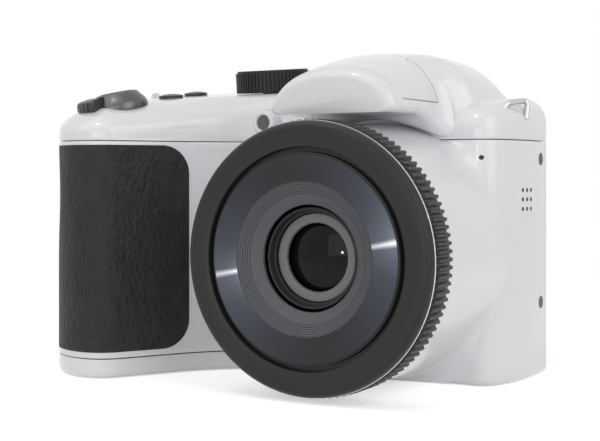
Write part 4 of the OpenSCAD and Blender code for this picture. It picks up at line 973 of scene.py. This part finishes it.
def plainFloor():  # one square, a hair below the object
    k = {"half": 3.0, "z": -0.0002}
    corners = [(x * k["half"], y * k["half"], k["z"]) for x, y in ((-1, -1), (1, -1), (1, 1), (-1, 1))]
    mesh = bpy.data.meshes.new("floor")
    mesh.from_pydata(corners, [], [(0, 1, 2, 3)])
    mesh.materials.append(floorPaper())
    obj = bpy.data.objects.new("floor", mesh)
    bpy.context.scene.collection.objects.link(obj)


def areaLight(name, place, target, size, power):  # small lamps are round
    data = bpy.data.lights.new(name, "AREA")
    data.shape = "ELLIPSE" if max(size) < 0.1 else "RECTANGLE"
    data.size, data.size_y = size
    data.energy = power
    obj = bpy.data.objects.new(name, data)
    bpy.context.scene.collection.objects.link(obj)
    obj.location = place
    obj.rotation_euler = (Vector(target) - Vector(place)).to_track_quat("-Z", "Y").to_euler()


def studio():  # white surroundings, dimmer as a light than as they look, and five lamps
    k = {"light": 0.42, "seen": 1.0, "middle": (0, 0, 0.04)}
    world = bpy.data.worlds.new("studio")
    bpy.context.scene.world = world
    world.use_nodes = True
    tree = world.node_tree
    back = tree.nodes["Background"]
    back.inputs["Color"].default_value = (1, 1, 1, 1)
    run = {"Value": seenRays(tree), "To Min": k["light"], "To Max": k["seen"]}
    level = addNode(tree, "ShaderNodeMapRange", run)
    tree.links.new(level.outputs["Result"], back.inputs["Strength"])
    areaLight("keyTop", (-0.30, -0.40, 0.80), k["middle"], (0.9, 0.9), 1.8)
    areaLight("fillLens", (0.75, -0.25, 0.40), k["middle"], (0.6, 0.8), 2.2)
    areaLight("fillAhead", (0.15, -0.95, 0.16), k["middle"], (0.9, 0.4), 1.1)
    areaLight("lampHigh", (-0.20, -0.36, 0.85), (0, 0, 0.05), (0.05, 0.05), 0.35)
    areaLight("lampAhead", (0.0, -0.75, 0.05), (0.025, -0.04, 0.033), (0.03, 0.03), 0.2)


def photoCamera():  # level view, with the horizon moved by a shift of the frame
    view = {
        "place": (0.1598, -0.2767, 0.053), "turn": 29.7, "sensor": 36.0,
        "focal": 1195.0, "horizon": 172.0, "frame": (600, 441),  # pixels
    }
    data = bpy.data.cameras.new("photoCamera")
    data.sensor_width = view["sensor"]
    data.lens = view["focal"] * view["sensor"] / view["frame"][0]
    data.shift_y = (view["horizon"] - view["frame"][1] / 2) / view["frame"][0]
    data.clip_start = 0.01
    obj = bpy.data.objects.new("photoCamera", data)
    bpy.context.scene.collection.objects.link(obj)
    obj.location = view["place"]
    obj.rotation_euler = (math.radians(90), 0, math.radians(view["turn"]))
    bpy.context.scene.camera = obj


plainFloor()
studio()
photoCamera()
print("floor, light and camera set")
bpy.context.scene.view_settings.view_transform = "Standard"
